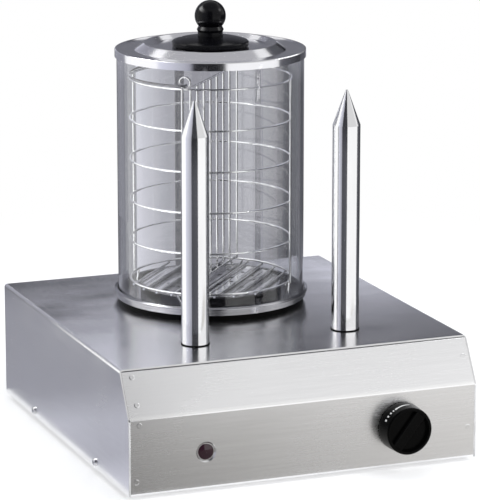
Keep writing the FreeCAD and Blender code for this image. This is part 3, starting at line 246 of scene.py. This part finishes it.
def brushed(name, tone, grain, rough, fold=None, cloud=1.0, cloud_scale=9, cloud_stretch=(1, 1, 1)):
    """Sheet steel with fine grain lines along one axis (0, 1 or 2) and soft clouds.

    fold is the height of a fold along which a plain white band is painted as the fold's highlight, and cloud
    is how strong the clouds are.
    """
    finish = Finish(name, {"Metallic": 1.0})
    stretch = [1.0, 1.0, 1.0]
    stretch[grain] = 0.012
    lines = finish.noise(1900, 2.0, stretch)
    stretch[grain] = 0.03
    strokes = finish.noise(420, 3.0, stretch)
    clouds = finish.noise(cloud_scale, 5.0, cloud_stretch)
    both = finish.combine("ADD", finish.combine("MULTIPLY", lines, 0.5),
                          finish.combine("MULTIPLY", strokes, 0.5))
    tinted = finish.mixed(finish.spread(both, 0, 1), scaled(tone, 0.97), scaled(tone, 1.03))
    shade = finish.mixed(finish.spread(clouds, 0, 0.5), tinted, scaled(tone, 1 - 0.07 * cloud ** 2))
    # Painted highlight: a plain white band along the fold stands in for the light that the bend catches.
    if fold:
        apart = finish.add("ShaderNodeSeparateXYZ")
        finish.join(finish.place, apart.inputs[0])
        above = finish.combine("SUBTRACT", apart.outputs["Z"], fold + FOLD_HIGHLIGHT_LIFT)
        away = finish.combine("ABSOLUTE", above, 0.0)
        shade = finish.mixed(finish.spread(away, 1, 0, FOLD_HIGHLIGHT_CORE, FOLD_HIGHLIGHT_WIDTH), shade, (1.0, 1.0, 1.0))
    finish.colour(shade)
    finish.rough(finish.combine("ADD", finish.spread(both, rough * 0.9, rough * 1.08),
                                finish.spread(clouds, -0.03 * cloud, 0.05 * cloud)))
    finish.bump(both, 0.05, 0.03 * MM)
    return finish.material


def pressed(name, tone, rough, wire_reflection_tone=None):
    """Polished pressing with faint turned lines round the tower's axis and soft smudges.

    wire_reflection_tone is the tone of bright streaks painted along the basket's floor wires on faces that
    look up: a painted reflection of the wires.
    """
    finish = Finish(name, {"Metallic": 1.0})
    rings = finish.noise(1400, 2.0, vector=finish.turned((TOWER_X, TOWER_Y)))
    smudges = finish.noise(38, 5.0)
    shade = finish.mixed(finish.spread(rings, 0, 1), scaled(tone, 0.95), scaled(tone, 1.04))
    # Painted reflection: bright streaks along the floor wires, only on faces that look up.
    if wire_reflection_tone:
        marks = finish.spread(finish.streaks(150, UPRIGHT_ANGLES[0], 0.05), 0, 1, 0.44, 0.60)
        shade = finish.mixed(finish.combine("MULTIPLY", marks, finish.facing_up()), shade, wire_reflection_tone)
    finish.colour(shade)
    finish.rough(finish.combine("ADD", finish.spread(rings, rough * 0.85, rough * 1.1),
                                finish.spread(smudges, -0.01, 0.06)))
    finish.bump(rings, 0.06, 0.03 * MM)
    return finish.material


def turned_metal(name, tone, rough):
    """Bar stock turned on a lathe: hair lines round an upright axis, and a little handling wear."""
    finish = Finish(name, {"Metallic": 1.0})
    lines = finish.noise(2600, 2.0, (0.02, 0.02, 1.0))
    wear = finish.noise(55, 4.0, (1, 1, 0.25))
    finish.colour(finish.mixed(finish.spread(wear, 0, 1), scaled(tone, 0.95), scaled(tone, 1.03)))
    finish.rough(finish.combine("ADD", finish.spread(lines, rough * 0.8, rough * 1.2),
                                finish.spread(wear, -0.01, 0.03)))
    finish.bump(lines, 0.05, 0.02 * MM)
    return finish.material


def plated(name, tone, rough, speck=700, metal=1.0):
    """Plated or electropolished wire and fasteners."""
    finish = Finish(name, {"Metallic": metal})
    grain = finish.noise(speck, 3.0)
    dull = finish.noise(70, 4.0)
    finish.colour(finish.mixed(finish.spread(dull, 0, 1), scaled(tone, 0.9), scaled(tone, 1.04)))
    finish.rough(finish.combine("ADD", finish.spread(grain, rough * 0.8, rough * 1.2),
                                finish.spread(dull, -0.02, 0.06)))
    finish.bump(grain, 0.08, 0.04 * MM)
    return finish.material


def clear_glass(name):
    """Clear glass with a trace of wiping marks."""
    finish = Finish(name, {"Transmission Weight": 1.0, "IOR": 1.46})
    film = finish.noise(24, 5.0, (1, 1, 0.35))
    finish.colour(finish.mixed(finish.spread(film, 0, 1), (0.985, 0.995, 0.99), (1.0, 1.0, 1.0)))
    finish.rough(finish.spread(film, 0.0, 0.012, 0.5, 0.75))
    finish.bump(finish.noise(7, 1.0), 0.02, 0.2 * MM)
    body = finish.add("ShaderNodeVolumeAbsorption")
    body.inputs["Color"].default_value = (0.50, 0.50, 0.54, 1)
    body.inputs["Density"].default_value = 44.0
    finish.join(body.outputs[0], finish.tree.nodes["Material Output"].inputs["Volume"])
    return finish.material


def moulded(name, tone, rough, texture=1500, depth=0.1, sockets=None):
    """Moulded plastic or rubber with a fine texture and a slight variation of its gloss."""
    finish = Finish(name, sockets or {})
    grain = finish.noise(texture, 2.0)
    handled = finish.noise(45, 4.0)
    finish.colour(finish.mixed(finish.spread(handled, 0, 1), scaled(tone, 0.85), scaled(tone, 1.2)))
    finish.rough(finish.combine("ADD", finish.spread(grain, rough * 0.92, rough * 1.08),
                                finish.spread(handled, -0.03, 0.06)))
    finish.bump(grain, depth, 0.05 * MM)
    return finish.material


def heated(name, tone, tinge):
    """Metal that the heat has coloured in patches."""
    finish = Finish(name, {"Metallic": 1.0})
    patches = finish.noise(30, 4.0)
    grain = finish.noise(900, 3.0)
    finish.colour(finish.mixed(finish.spread(patches, 0, 1), tone, tinge))
    finish.rough(finish.combine("ADD", finish.spread(grain, 0.38, 0.5), finish.spread(patches, 0, 0.1)))
    finish.bump(grain, 0.15, 0.05 * MM)
    return finish.material


STEEL = (0.88, 0.88, 0.89)
CASING_Y = brushed("casing_along", STEEL, 1, 0.20, cloud=1.35, cloud_scale=15, cloud_stretch=(0.55, 1, 1))
# The front's finish paints a white highlight band along its fold.
CASING_X = brushed("casing_across_painted_fold_highlight", (0.93, 0.93, 0.94), 0, 0.25, fold=FOLD_Z)
CASING_BACK = brushed("casing_back", STEEL, 0, 0.25)
# Plain white finish for the hems: painted highlight of the side sheets' front edges.
HEM = plated("hem_painted_highlight", (1.0, 1.0, 1.0), 0.35, metal=0.35)
INNER = brushed("inner_sheet", (0.62, 0.62, 0.63), 0, 0.38)
POLISHED = pressed("polished_pressing", (0.80, 0.80, 0.83), 0.12)
# The pan is the polished pressing toned darker than the lid's: painted shade for its dim place under the
# glass.
PAN = pressed("pan_pressing_painted_shade", (0.42, 0.42, 0.44), 0.16)
# The strainer is the pressing toned very dark as painted shade, with bright streaks along the floor wires
# painted as their reflection.
STRAINER = pressed("strainer_painted_shade_and_reflections", (0.20, 0.20, 0.21), 0.13, (0.95, 0.95, 0.97))
SPIKE = turned_metal("turned_spike", (0.86, 0.86, 0.87), 0.10)
WIRE = plated("basket_wire", (0.96, 0.96, 0.97), 0.06)
# The bail is the basket's plated wire toned dark: painted shade.
BAIL_WIRE = plated("bail_wire_painted_shade", (0.20, 0.20, 0.21), 0.12)
FASTENER = plated("plated_fastener", (0.68, 0.68, 0.69), 0.25)
GLASS = clear_glass("cylinder_glass")
KNOB_BLACK = moulded("glossy_knob", (0.003, 0.003, 0.004), 0.16, 900, 0.02, {"Specular IOR Level": 0.14})
BLACK = moulded("satin_black", (0.002, 0.002, 0.002), 0.20, sockets={"Specular IOR Level": 0.07})
MARKING = moulded("printed_marks", (0.95, 0.95, 0.94), 0.5)
RING_BLACK = moulded("ring_black", (0.002, 0.002, 0.002), 0.42, sockets={"Specular IOR Level": 0.05})
RUBBER = moulded("foot_rubber", (0.022, 0.022, 0.022), 0.72, 1100, 0.25)
LENS = moulded("lamp_lens", (0.035, 0.008, 0.018), 0.10, 300, 0.05,
               {"Transmission Weight": 0.25, "IOR": 1.49, "Coat Weight": 0.3})
PALE = moulded("pale_moulding", (0.70, 0.68, 0.62), 0.5)
DARK = moulded("dark_moulding", (0.045, 0.045, 0.05), 0.5)
ALUMINIUM = plated("spreader_aluminium", (0.74, 0.75, 0.77), 0.36)
HEATER = heated("heater_sheath", (0.20, 0.18, 0.17), (0.26, 0.20, 0.14))
COPPER = heated("copper_bulb", (0.72, 0.40, 0.26), (0.48, 0.25, 0.17))
BRASS = plated("brass_screws", (0.76, 0.60, 0.30), 0.28)

NODE_FINISH = {
    "top_cover": CASING_Y, "front_panel": CASING_X, "rear_panel": CASING_BACK, "bottom_plate": INNER,
    "rear_angles": INNER, "rubber_feet": RUBBER, "foot_screws": FASTENER, "foot_nuts": FASTENER,
    "side_screws": FASTENER, "rear_screws": FASTENER, "insulating_ring": RING_BLACK,
    "water_pan": PAN, "pan_brackets": INNER, "strainer_plate": STRAINER, "glass_cylinder": GLASS,
    "spike_left": SPIKE, "spike_right": SPIKE, "spike_washers": RING_BLACK, "spike_nuts": FASTENER,
    "spike_heaters": HEATER, "lid_plate": POLISHED, "lid_knob": KNOB_BLACK, "lid_washer": FASTENER,
    "lid_screw": FASTENER, "basket_rings": WIRE, "basket_uprights": WIRE, "basket_floor": WIRE,
    "basket_partition": WIRE, "basket_feet": WIRE, "basket_eyes": WIRE, "bail_handle": BAIL_WIRE,
    "control_knob": BLACK, "thermostat_shaft": FASTENER, "thermostat_body": DARK,
    "thermostat_screws": FASTENER, "sensor_bulb": COPPER, "pilot_lamp_lens": LENS,
    "pilot_lamp_body": DARK, "pilot_lamp_nut": FASTENER, "heat_spreader": ALUMINIUM,
    "heating_element": HEATER, "element_clamp": INNER, "clamp_stud": FASTENER, "clamp_nut": FASTENER,
    "thermal_cutout": DARK, "cable_gland": DARK, "gland_nut": DARK, "terminal_block": PALE,
    "terminal_screws": BRASS, "earth_stud": FASTENER, "earth_nut": FASTENER,
}


def dress_nodes():
    """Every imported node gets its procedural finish."""
    for name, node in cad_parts.items():
        for place in node.material_slots:
            place.link = "OBJECT"
            place.material = NODE_FINISH[name]
    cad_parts["glass_cylinder"].visible_shadow = False


def new_object(name, mesh):
    piece = bpy.data.objects.new(name, mesh)
    bpy.context.scene.collection.objects.link(piece)
    return piece


# Small fittings

def fitting(name, points, faces, body, material, flat=False):
    """A fine piece of the machine: it rides a body and takes a material slot of the record."""
    mesh = bpy.data.meshes.new(name)
    mesh.from_pydata(points, [], faces)
    mesh.materials.append(material)
    work = bmesh.new()
    work.from_mesh(mesh)
    bmesh.ops.recalc_face_normals(work, faces=work.faces)
    work.to_mesh(mesh)
    work.free()
    if not flat:
        for face in mesh.polygons:
            face.use_smooth = True
    piece = new_object(name, mesh)
    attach(piece, body)


def add_turned(points, faces, outline, spot, axis, sides=20, squash=1.0):
    """Add a closed surface: an outline of (radius, height) turned round an axis through spot."""
    turn = Vector(axis).to_track_quat("Z", "Y")
    rings = []
    for radius, height in outline:
        ring = []
        for side in range(sides if radius else 1):
            angle = 2 * math.pi * side / sides
            local = Vector((radius * math.cos(angle), radius * math.sin(angle) * squash, height))
            ring.append(len(points))
            points.append(Vector(spot) + turn @ local)
        rings.append(ring)
    for low, high in zip(rings, rings[1:]):
        for side in range(sides):
            after = (side + 1) % sides
            corners = [low[side % len(low)], low[after % len(low)],
                       high[after % len(high)], high[side % len(high)]]
            faces.append([c for index, c in enumerate(corners) if c not in corners[:index]])


def add_strip(points, faces, sections):
    """Add a closed bar through sections of as many points each, with its ends closed."""
    count = len(sections[0])
    first = len(points)
    for section in sections:
        points.extend(section)
    for index in range(len(sections) - 1):
        base = first + index * count
        for side in range(count):
            after = (side + 1) % count
            faces.append([base + side, base + after, base + count + after, base + count + side])
    faces.append([first + side for side in range(count)])
    faces.append([len(points) - 1 - side for side in range(count)])


def slope_y(z):
    """Front surface at a height on the sloped part."""
    return FRONT_Y + SLOPE_SETBACK * (z - FOLD_Z) / (SLOPE_TOP_Z - FOLD_Z)


def make_weld_dimples():
    """Shallow round marks of the spot welds that hold the front sheet's flanges."""
    outline = [(radius * MM, height * MM) for radius, height in WELD_OUTLINE]
    slope = (0.0, -(SLOPE_TOP_Z - FOLD_Z), SLOPE_SETBACK)
    points = []
    faces = []
    for x, z in WELD_SPOTS:
        z *= MM
        sloped = z > FOLD_Z
        spot = (x * MM, slope_y(z) if sloped else FRONT_Y, z)
        add_turned(points, faces, outline, spot, slope if sloped else (0, -1, 0))
    fitting("weld_dimples", points, faces, "base", CASING_BACK)


def make_side_hems():
    """Rounded front hems of the cover's two side sheets, finished plain white as a painted highlight of their
    edges.
    """
    for name, x, way in (("hem_left", CASE_BOX[0].x, 1), ("hem_right", CASE_BOX[1].x, -1)):
        points = []
        faces = []
        middle = x + way * HEM_R
        axis_y = FRONT_Y + HEM_SETBACK
        sections = []
        for z in (CASE_BOX[0].z + HEM_FOOT, FOLD_Z - HEM_HEAD):
            section = []
            for side in range(HEM_SIDES):
                angle = 2 * math.pi * side / HEM_SIDES
                section.append((middle + HEM_R * math.cos(angle), axis_y + HEM_R * math.sin(angle), z))
            sections.append(section)
        add_strip(points, faces, sections)
        fitting(name, points, faces, "base", HEM)


def add_mark(points, faces, angles, near, far, steps):
    """Add a printed patch on the knob's side, between two angles.

    near and far are its two edges' distances from the panel, in mm, each at its first and last end.
    """
    panel_y = KNOB_BOX[1].y + KNOB_GAP * MM
    sections = []
    for step in range(steps + 1):
        part = step / steps
        angle = math.radians(angles[0] + (angles[1] - angles[0]) * part)
        low = near[0] + (near[1] - near[0]) * part
        high = far[0] + (far[1] - far[0]) * part
        section = []
        for out, rise in ((low, -MARK_LIFT), (low, MARK_LIFT), (high, MARK_LIFT), (high, -MARK_LIFT)):
            radius = (SKIRT_R - SIDE_TAPER * (out - SKIRT_OUT) / SIDE_LENGTH + rise) * MM
            section.append((KNOB_X + radius * math.cos(angle), panel_y - out * MM,
                            KNOB_Z + radius * math.sin(angle)))
        sections.append(section)
    add_strip(points, faces, sections)


def make_knob_marks():
    """Four dots and a tapering arc printed round the knob: the heat scale."""
    points = []
    faces = []
    for angle, half, width in DOTS:
        near = DOTS_OUT - width / 2
        far = DOTS_OUT + width / 2
        add_mark(points, faces, (angle - half, angle + half), (near, near), (far, far), 3)
    add_mark(points, faces, ARC_ANGLES, ARC_NEAR, ARC_FAR, 12)
    fitting("knob_marks", points, faces, "knob", MARKING, flat=True)


def make_basket_welds():
    """Small uneven beads where the basket's rings are welded to the uprights."""
    random = Random(7)
    ring_r = (RING_BOX[1].x - RING_BOX[0].x) / 2
    low = RING_BOX[0].z + WIRE_R
    high = RING_BOX[1].z - WIRE_R
    points = []
    faces = []
    for ring in range(RING_COUNT):
        z = low + (high - low) * ring / (RING_COUNT - 1)
        for bearing in UPRIGHT_ANGLES:
            angle = math.radians(bearing)
            out = Vector((math.cos(angle), math.sin(angle), 0))
            spot = Vector((TOWER_X, TOWER_Y, z)) + out * ring_r
            size = random.uniform(*BEAD_SIZES) * MM
            outline = [(radius * size, height * size) for radius, height in BEAD_OUTLINE]
            tilt = out + Vector([random.uniform(-BEAD_TILT, BEAD_TILT) for _ in range(3)])
            add_turned(points, faces, outline, spot, tilt, 12, random.uniform(*BEAD_SQUASH))
    fitting("basket_welds", points, faces, "basket", WIRE)


# Stage

def glow(name):
    """An empty material with its node tree and output, for the stage."""
    material = bpy.data.materials.new(name)
    material.use_nodes = True
    material.node_tree.nodes.clear()
    return material, material.node_tree, material.node_tree.nodes.new("ShaderNodeOutputMaterial")


def seen_straight(tree):
    """1 for rays that show the background: camera, glossy and transmission rays."""
    path = tree.nodes.new("ShaderNodeLightPath")
    total = path.outputs["Is Camera Ray"]
    for output in ("Is Glossy Ray", "Is Transmission Ray"):
        add = tree.nodes.new("ShaderNodeMath")
        add.operation = "ADD"
        add.use_clamp = True
        tree.links.new(total, add.inputs[0])
        tree.links.new(path.outputs[output], add.inputs[1])
        total = add.outputs["Value"]
    return total


def mix_shader(tree, factor, first, second):
    """Shader between first and second."""
    node = tree.nodes.new("ShaderNodeMixShader")
    tree.links.new(factor, node.inputs["Fac"])
    tree.links.new(first, node.inputs[1])
    tree.links.new(second, node.inputs[2])
    return node.outputs[0]


def emission(tree, strength):
    node = tree.nodes.new("ShaderNodeEmission")
    node.inputs["Strength"].default_value = strength
    return node.outputs[0]


def background(tree, colour, strength):
    node = tree.nodes.new("ShaderNodeBackground")
    node.inputs["Color"].default_value = (*colour, 1)
    node.inputs["Strength"].default_value = strength
    return node.outputs[0]


def distance_fade(tree, start, end):
    """0 near the machine and 1 far out, changing smoothly between two distances."""
    place = tree.nodes.new("ShaderNodeTexCoord")
    length = tree.nodes.new("ShaderNodeVectorMath")
    length.operation = "LENGTH"
    tree.links.new(place.outputs["Object"], length.inputs[0])
    fade = tree.nodes.new("ShaderNodeMapRange")
    fade.interpolation_type = "SMOOTHSTEP"
    fade.inputs["From Min"].default_value = start
    fade.inputs["From Max"].default_value = end
    tree.links.new(length.outputs["Value"], fade.inputs["Value"])
    return fade.outputs["Result"]


def make_floor():
    """White floor: it takes the machine's shadow near it and runs into plain white further out."""
    half = FLOOR_HALF
    mesh = bpy.data.meshes.new("floor")
    mesh.from_pydata([(-half, -half, 0), (half, -half, 0), (half, half, 0), (-half, half, 0)], [],
                     [(0, 1, 2, 3)])
    floor = new_object("floor", mesh)
    material, tree, output = glow("floor")
    plain = tree.nodes.new("ShaderNodeBsdfDiffuse")
    plain.inputs["Color"].default_value = (FLOOR_TONE, FLOOR_TONE, FLOOR_TONE, 1)
    near = tree.nodes.new("ShaderNodeAddShader")
    tree.links.new(plain.outputs[0], near.inputs[0])
    tree.links.new(emission(tree, FLOOR_LIFT), near.inputs[1])
    shown = mix_shader(tree, distance_fade(tree, *FLOOR_FADE), near.outputs[0], emission(tree, 1.0))
    final = mix_shader(tree, seen_straight(tree), plain.outputs[0], shown)
    tree.links.new(final, output.inputs["Surface"])
    material.cycles.emission_sampling = "NONE"
    mesh.materials.append(material)


def blend_tones(tones, part):
    """Tone at a part (0 to 1) of a row of even steps."""
    place = part * (len(tones) - 1)
    index = min(int(place), len(tones) - 2)
    return tones[index] + (tones[index + 1] - tones[index]) * (place - index)


def lit_sheet(name, columns, levels, tint, spot, seen_by):
    """Glowing sheet of vertices that only one kind of ray shows.

    levels are (height, tones from the first column to the last), and spot gives a vertex's place
    from the part of the way across and the height.
    """
    points = []
    shades = []
    faces = []
    for column in range(columns + 1):
        part = column / columns
        for row, (height, tones) in enumerate(levels):
            points.append(spot(part, height))
            shades.append([blend_tones(tones, part) * share for share in tint] + [1])
            if column and row:
                here = column * len(levels) + row
                faces.append((here - len(levels) - 1, here - 1, here, here - len(levels)))
    mesh = bpy.data.meshes.new(name)
    mesh.from_pydata(points, [], faces)
    layer = mesh.color_attributes.new("tone", "FLOAT_COLOR", "POINT")
    for item, shade in zip(layer.data, shades):
        item.color = shade
    sheet = new_object(name, mesh)
    material, tree, output = glow(name)
    tone = tree.nodes.new("ShaderNodeVertexColor")
    tone.layer_name = "tone"
    light = tree.nodes.new("ShaderNodeEmission")
    tree.links.new(tone.outputs["Color"], light.inputs["Color"])
    tree.links.new(light.outputs[0], output.inputs["Surface"])
    material.cycles.emission_sampling = "NONE"
    mesh.materials.append(material)
    sheet.visible_camera = False
    sheet.visible_diffuse = False
    sheet.visible_shadow = False
    sheet.visible_glossy = seen_by == "glossy"
    sheet.visible_transmission = seen_by == "transmission"


def even(tones, top, foot=0.0):
    """Levels of a card whose tones are the same from its foot to its top."""
    return (foot, tones), (top, tones)


def make_card(name, start, end, radius, levels, tint=COOL, seen_by="glossy", centre=(0.0, 0.0)):
    """Upright curved card round the machine, or round another centre."""
    def spot(part, height):
        angle = math.radians(CAMERA_SIDE + start + (end - start) * part)
        return (centre[0] + radius * math.cos(angle), centre[1] + radius * math.sin(angle), height)

    lit_sheet(name, max(2, round((end - start) / CARD_STEP)), levels, tint, spot, seen_by)


def make_glass_card(name, start, end, levels, tint, radius=GLASS_R):
    """Card round the tower that shows only through its glass."""
    make_card(name, start, end, radius, levels, tint, "transmission", (TOWER_X, TOWER_Y))


def make_mat(name, left, right, levels, tint):
    """Flat mat on the floor from x = left to right, which reflections see. Its levels run along y."""
    lit_sheet(name, MAT_COLUMNS, levels, tint,
              lambda part, y: (left + (right - left) * part, y, MAT_Z), "glossy")


def make_ceiling(name, half, height, tone):
    """Grey square overhead that only reflections show."""
    lit_sheet(name, 2, even((1.0, 1.0), half, -half), tone,
              lambda part, y: (half * (1 - 2 * part), y, height), "glossy")


def make_world():
    """White where it is seen, and a soft pale light on everything else."""
    world = bpy.data.worlds.new("studio")
    bpy.context.scene.world = world
    world.use_nodes = True
    tree = world.node_tree
    tree.nodes.clear()
    output = tree.nodes.new("ShaderNodeOutputWorld")
    soft = background(tree, WORLD_SOFT, WORLD_STRENGTH)
    seen = background(tree, PLAIN, 1.0)
    tree.links.new(mix_shader(tree, seen_straight(tree), soft, seen), output.inputs["Surface"])
    world.cycles.sampling_method = "NONE"


def make_near_cards():
    """What the front, the spikes, the knobs and the lid's skirt mirror: dark at the camera, lit beside it."""
    make_card("card_camera", -24, 17, NEAR_R, (
        (0.0, (0.09, 0.12)), (0.21, (0.09, 0.12)), (0.27, (0.01, 0.01)),
        (0.45, (0.05, 0.06)), (1.0, (0.05, 0.06))))
    make_card("card_left", -66, -24, NEAR_R, even((0.90, 0.45), 1.0))
    make_card("card_far_left", -118, -66, NEAR_R, even((1.2, 1.2), 1.0), PLAIN)
    make_card("card_front_right", 14, 88, 0.75, (
        (0.0, (1.1, 1.1)), (0.42, (1.1, 1.1)), (0.46, (0.80, 0.80)), (1.50, (0.80, 0.80))), PLAIN)
    make_card("card_right", 90, 135, NEAR_R, ((0.0, (0.14, 0.03)), (0.45, (0.14, 0.05))))
    make_card("softbox_left", -130, -46, 0.59, (
        (0.68, (1.2, 1.2, 1.2, 1.2, 0.8, 0.6)), (0.74, (1.2, 14.0, 15.0, 9.0, 3.0, 0.8)),
        (0.96, (1.2, 14.0, 15.0, 9.0, 3.0, 0.8)), (1.04, (1.0, 1.0))), PLAIN)
    make_card("softbox_right", 84, 116, 0.59, (
        (0.68, (1.0, 1.0)), (0.73, (1.0, 6.0, 6.0, 1.0)),
        (0.88, (1.0, 6.0, 6.0, 1.0)), (0.94, (1.0, 1.0))), PLAIN)


def make_far_cards():
    """What level sheets mirror: a low light on the right, a black flag over it, a high light on the left."""
    make_card("wing_left", 200, 240, WIDE_R, ((0.0, (0.25, 0.25)), (0.5, (0.5, 0.4)), (1.2, (0.3, 0.3))))
    make_card("wing_right", 130, 160, WIDE_R, (
        (0.0, (0.14, 0.14)), (0.3, (0.10, 0.10)), (0.5, (0.04, 0.10)), (1.2, (0.12, 0.12))))
    flag = (0.01, 0.01, 0.01, 0.02)
    make_card("backdrop", 160, 200, WIDE_R, (
        (0.0, (0.05, 0.05, 0.06, 0.08, 0.08, 0.08, 0.07, 0.06, 0.05)),
        (0.22, (0.30, 0.30, 0.35, 0.30, 0.12, 0.12, 0.12, 0.12, 0.12)),
        (0.30, (0.90, 1.05, 1.20, 1.00, 0.30, 0.14, 0.12, 0.12, 0.12)),
        (0.35, (0.50, 0.70, 1.10, 0.90, 0.20, 0.10, 0.10, 0.10, 0.10)),
        (0.39, (0.10, 0.12, 0.20, 0.16, 0.10, 0.12, 0.11, 0.11, 0.11)),
        (0.43, flag + (0.10, 0.20, 0.12, 0.10, 0.10)),
        (0.48, flag + (0.15, 0.60, 0.40, 0.20, 0.16)),
        (0.52, flag + (0.20, 1.60, 1.50, 1.00, 0.60)),
        (0.60, flag + (0.25, 1.80, 1.80, 1.40, 0.90)),
        (0.66, (0.06, 0.06, 0.06, 0.08, 0.12, 0.40, 0.40, 0.30, 0.20)),
        (1.20, (0.14, 0.14, 0.14, 0.14, 0.12, 0.10, 0.10, 0.10, 0.10))))
    make_card("lid_backdrop", 158, 202, 0.42, even((0.20, 0.20), 0.62, 0.40),
              centre=(TOWER_X, TOWER_Y))
    make_ceiling("ceiling", 0.85, 1.5, (0.50, 0.50, 0.52))


def make_mats():
    """What upright sheets mirror of the floor."""
    make_mat("mat_front", -0.55, 0.60, (
        (-0.62, (0.15, 0.28, 0.62, 0.80)), (-0.215, (0.07, 0.26, 0.62, 0.82))), WARM)
    make_mat("mat_far_right", 0.25, 0.85, even((1.1, 1.1), -0.62, -0.85), PLAIN)
    make_mat("mat_left", -0.62, -0.20, (
        (-0.2, (0.58, 0.78)), (-0.05, (0.42, 0.50)), (0.08, (0.40, 0.58)), (0.2, (0.28, 0.38)),
        (0.6, (0.28, 0.36)), (0.8, (0.14, 0.14)), (1.12, (0.10, 0.10))), COOL)
    make_mat("mat_right", 0.20, 1.10, (
        (-0.2, (0.40, 0.40)), (0.2, (0.40, 0.14)), (0.6, (0.40, 0.10)), (0.8, (0.12, 0.10)),
        (1.12, (0.10, 0.10))), COOL)
    make_mat("mat_back", -0.20, 0.20, (
        (0.23, (0.45, 0.45)), (0.45, (0.40, 0.40)), (0.60, (0.16, 0.16)), (1.12, (0.10, 0.10))), COOL)


def make_glass_surround():
    """What shows through the glass and in the wires behind it."""
    sides = (                            # start, end, tones low down, tones higher up, tint
        (28, 48, (1.1, 1.2), (1.1, 1.2), PLAIN),
        (48, 52, (0.05, 0.05), (0.30, 0.30), PLAIN),
        (52, 112, (0.07, 0.06), (0.30, 0.60), COOL),
        (112, 164, (0.10, 0.14), (0.80, 0.80), COOL),
        (196, 240, (0.30, 0.40), (0.90, 0.70), COOL),
        (240, 258, (1.2, 1.7), (1.2, 1.7), PLAIN),
        (258, 322, (1.7, 1.7), (1.7, 1.7), PLAIN),
        (322, 334, (1.7, 0.08), (1.7, 0.08), PLAIN),
    )
    for index, (start, end, low, high, tint) in enumerate(sides):
        make_glass_card("surround_%d" % index, start, end,
                        ((0.0, low), (0.30, low), (0.42, high), (0.9, high)), tint)
    make_glass_card("surround_front", -26, 28, (
        (0.0, (0.55, 0.55)), (0.05, (0.35, 0.35)), (0.09, (0.08, 0.08)), (0.9, (0.08, 0.08))), COOL)
    # A plain fade behind the glass: dark at the right edge, level in the middle, light at the left edge.
    # Above it is what the glass shows where the top sheet mirrors it.
    fade = (0.10, 0.45, 0.40, 0.40, 0.80)
    mirrored = (0.08, 0.08, 0.10, 0.12, 0.30, 0.90, 1.40, 1.30, 1.00)
    make_glass_card("surround_back", 164, 196, (
        (0.0, fade), (0.31, fade), (0.34, mirrored), (0.9, mirrored)), MILD)
    for index, (start, end, tone) in enumerate(((170.8, 172.0, 0.26), (185.6, 187.4, 0.13))):
        make_glass_card("flag_%d" % index, start, end, even((tone, tone), 0.9), MILD, GLASS_R - 0.01)


def make_lamp(name, spot, target, size, power):
    """Soft area lamp, aimed at a point. Reflections show the cards instead of it."""
    data = bpy.data.lights.new(name, "AREA")
    data.size = size
    data.energy = power
    lamp = bpy.data.objects.new(name, data)
    lamp.location = spot
    lamp.rotation_euler = (Vector(target) - Vector(spot)).to_track_quat("-Z", "Y").to_euler()
    lamp.visible_glossy = False
    bpy.context.scene.collection.objects.link(lamp)


def make_camera():
    data = bpy.data.cameras.new("camera")
    data.lens = CAMERA_LENS
    data.sensor_width = SENSOR_WIDTH
    data.sensor_fit = "AUTO"
    camera = bpy.data.objects.new("camera", data)
    camera.location = CAMERA_AT
    camera.rotation_euler = [math.radians(turn) for turn in CAMERA_TURN]
    bpy.context.scene.collection.objects.link(camera)
    bpy.context.scene.camera = camera


def make_studio():
    make_floor()
    make_world()
    make_near_cards()
    make_far_cards()
    make_mats()
    make_glass_surround()
    for lamp in LAMPS:
        make_lamp(*lamp)
    bpy.context.scene.view_settings.view_transform = "Standard"


dress_nodes()
make_weld_dimples()
make_side_hems()
make_knob_marks()
make_basket_welds()
make_studio()
make_camera()
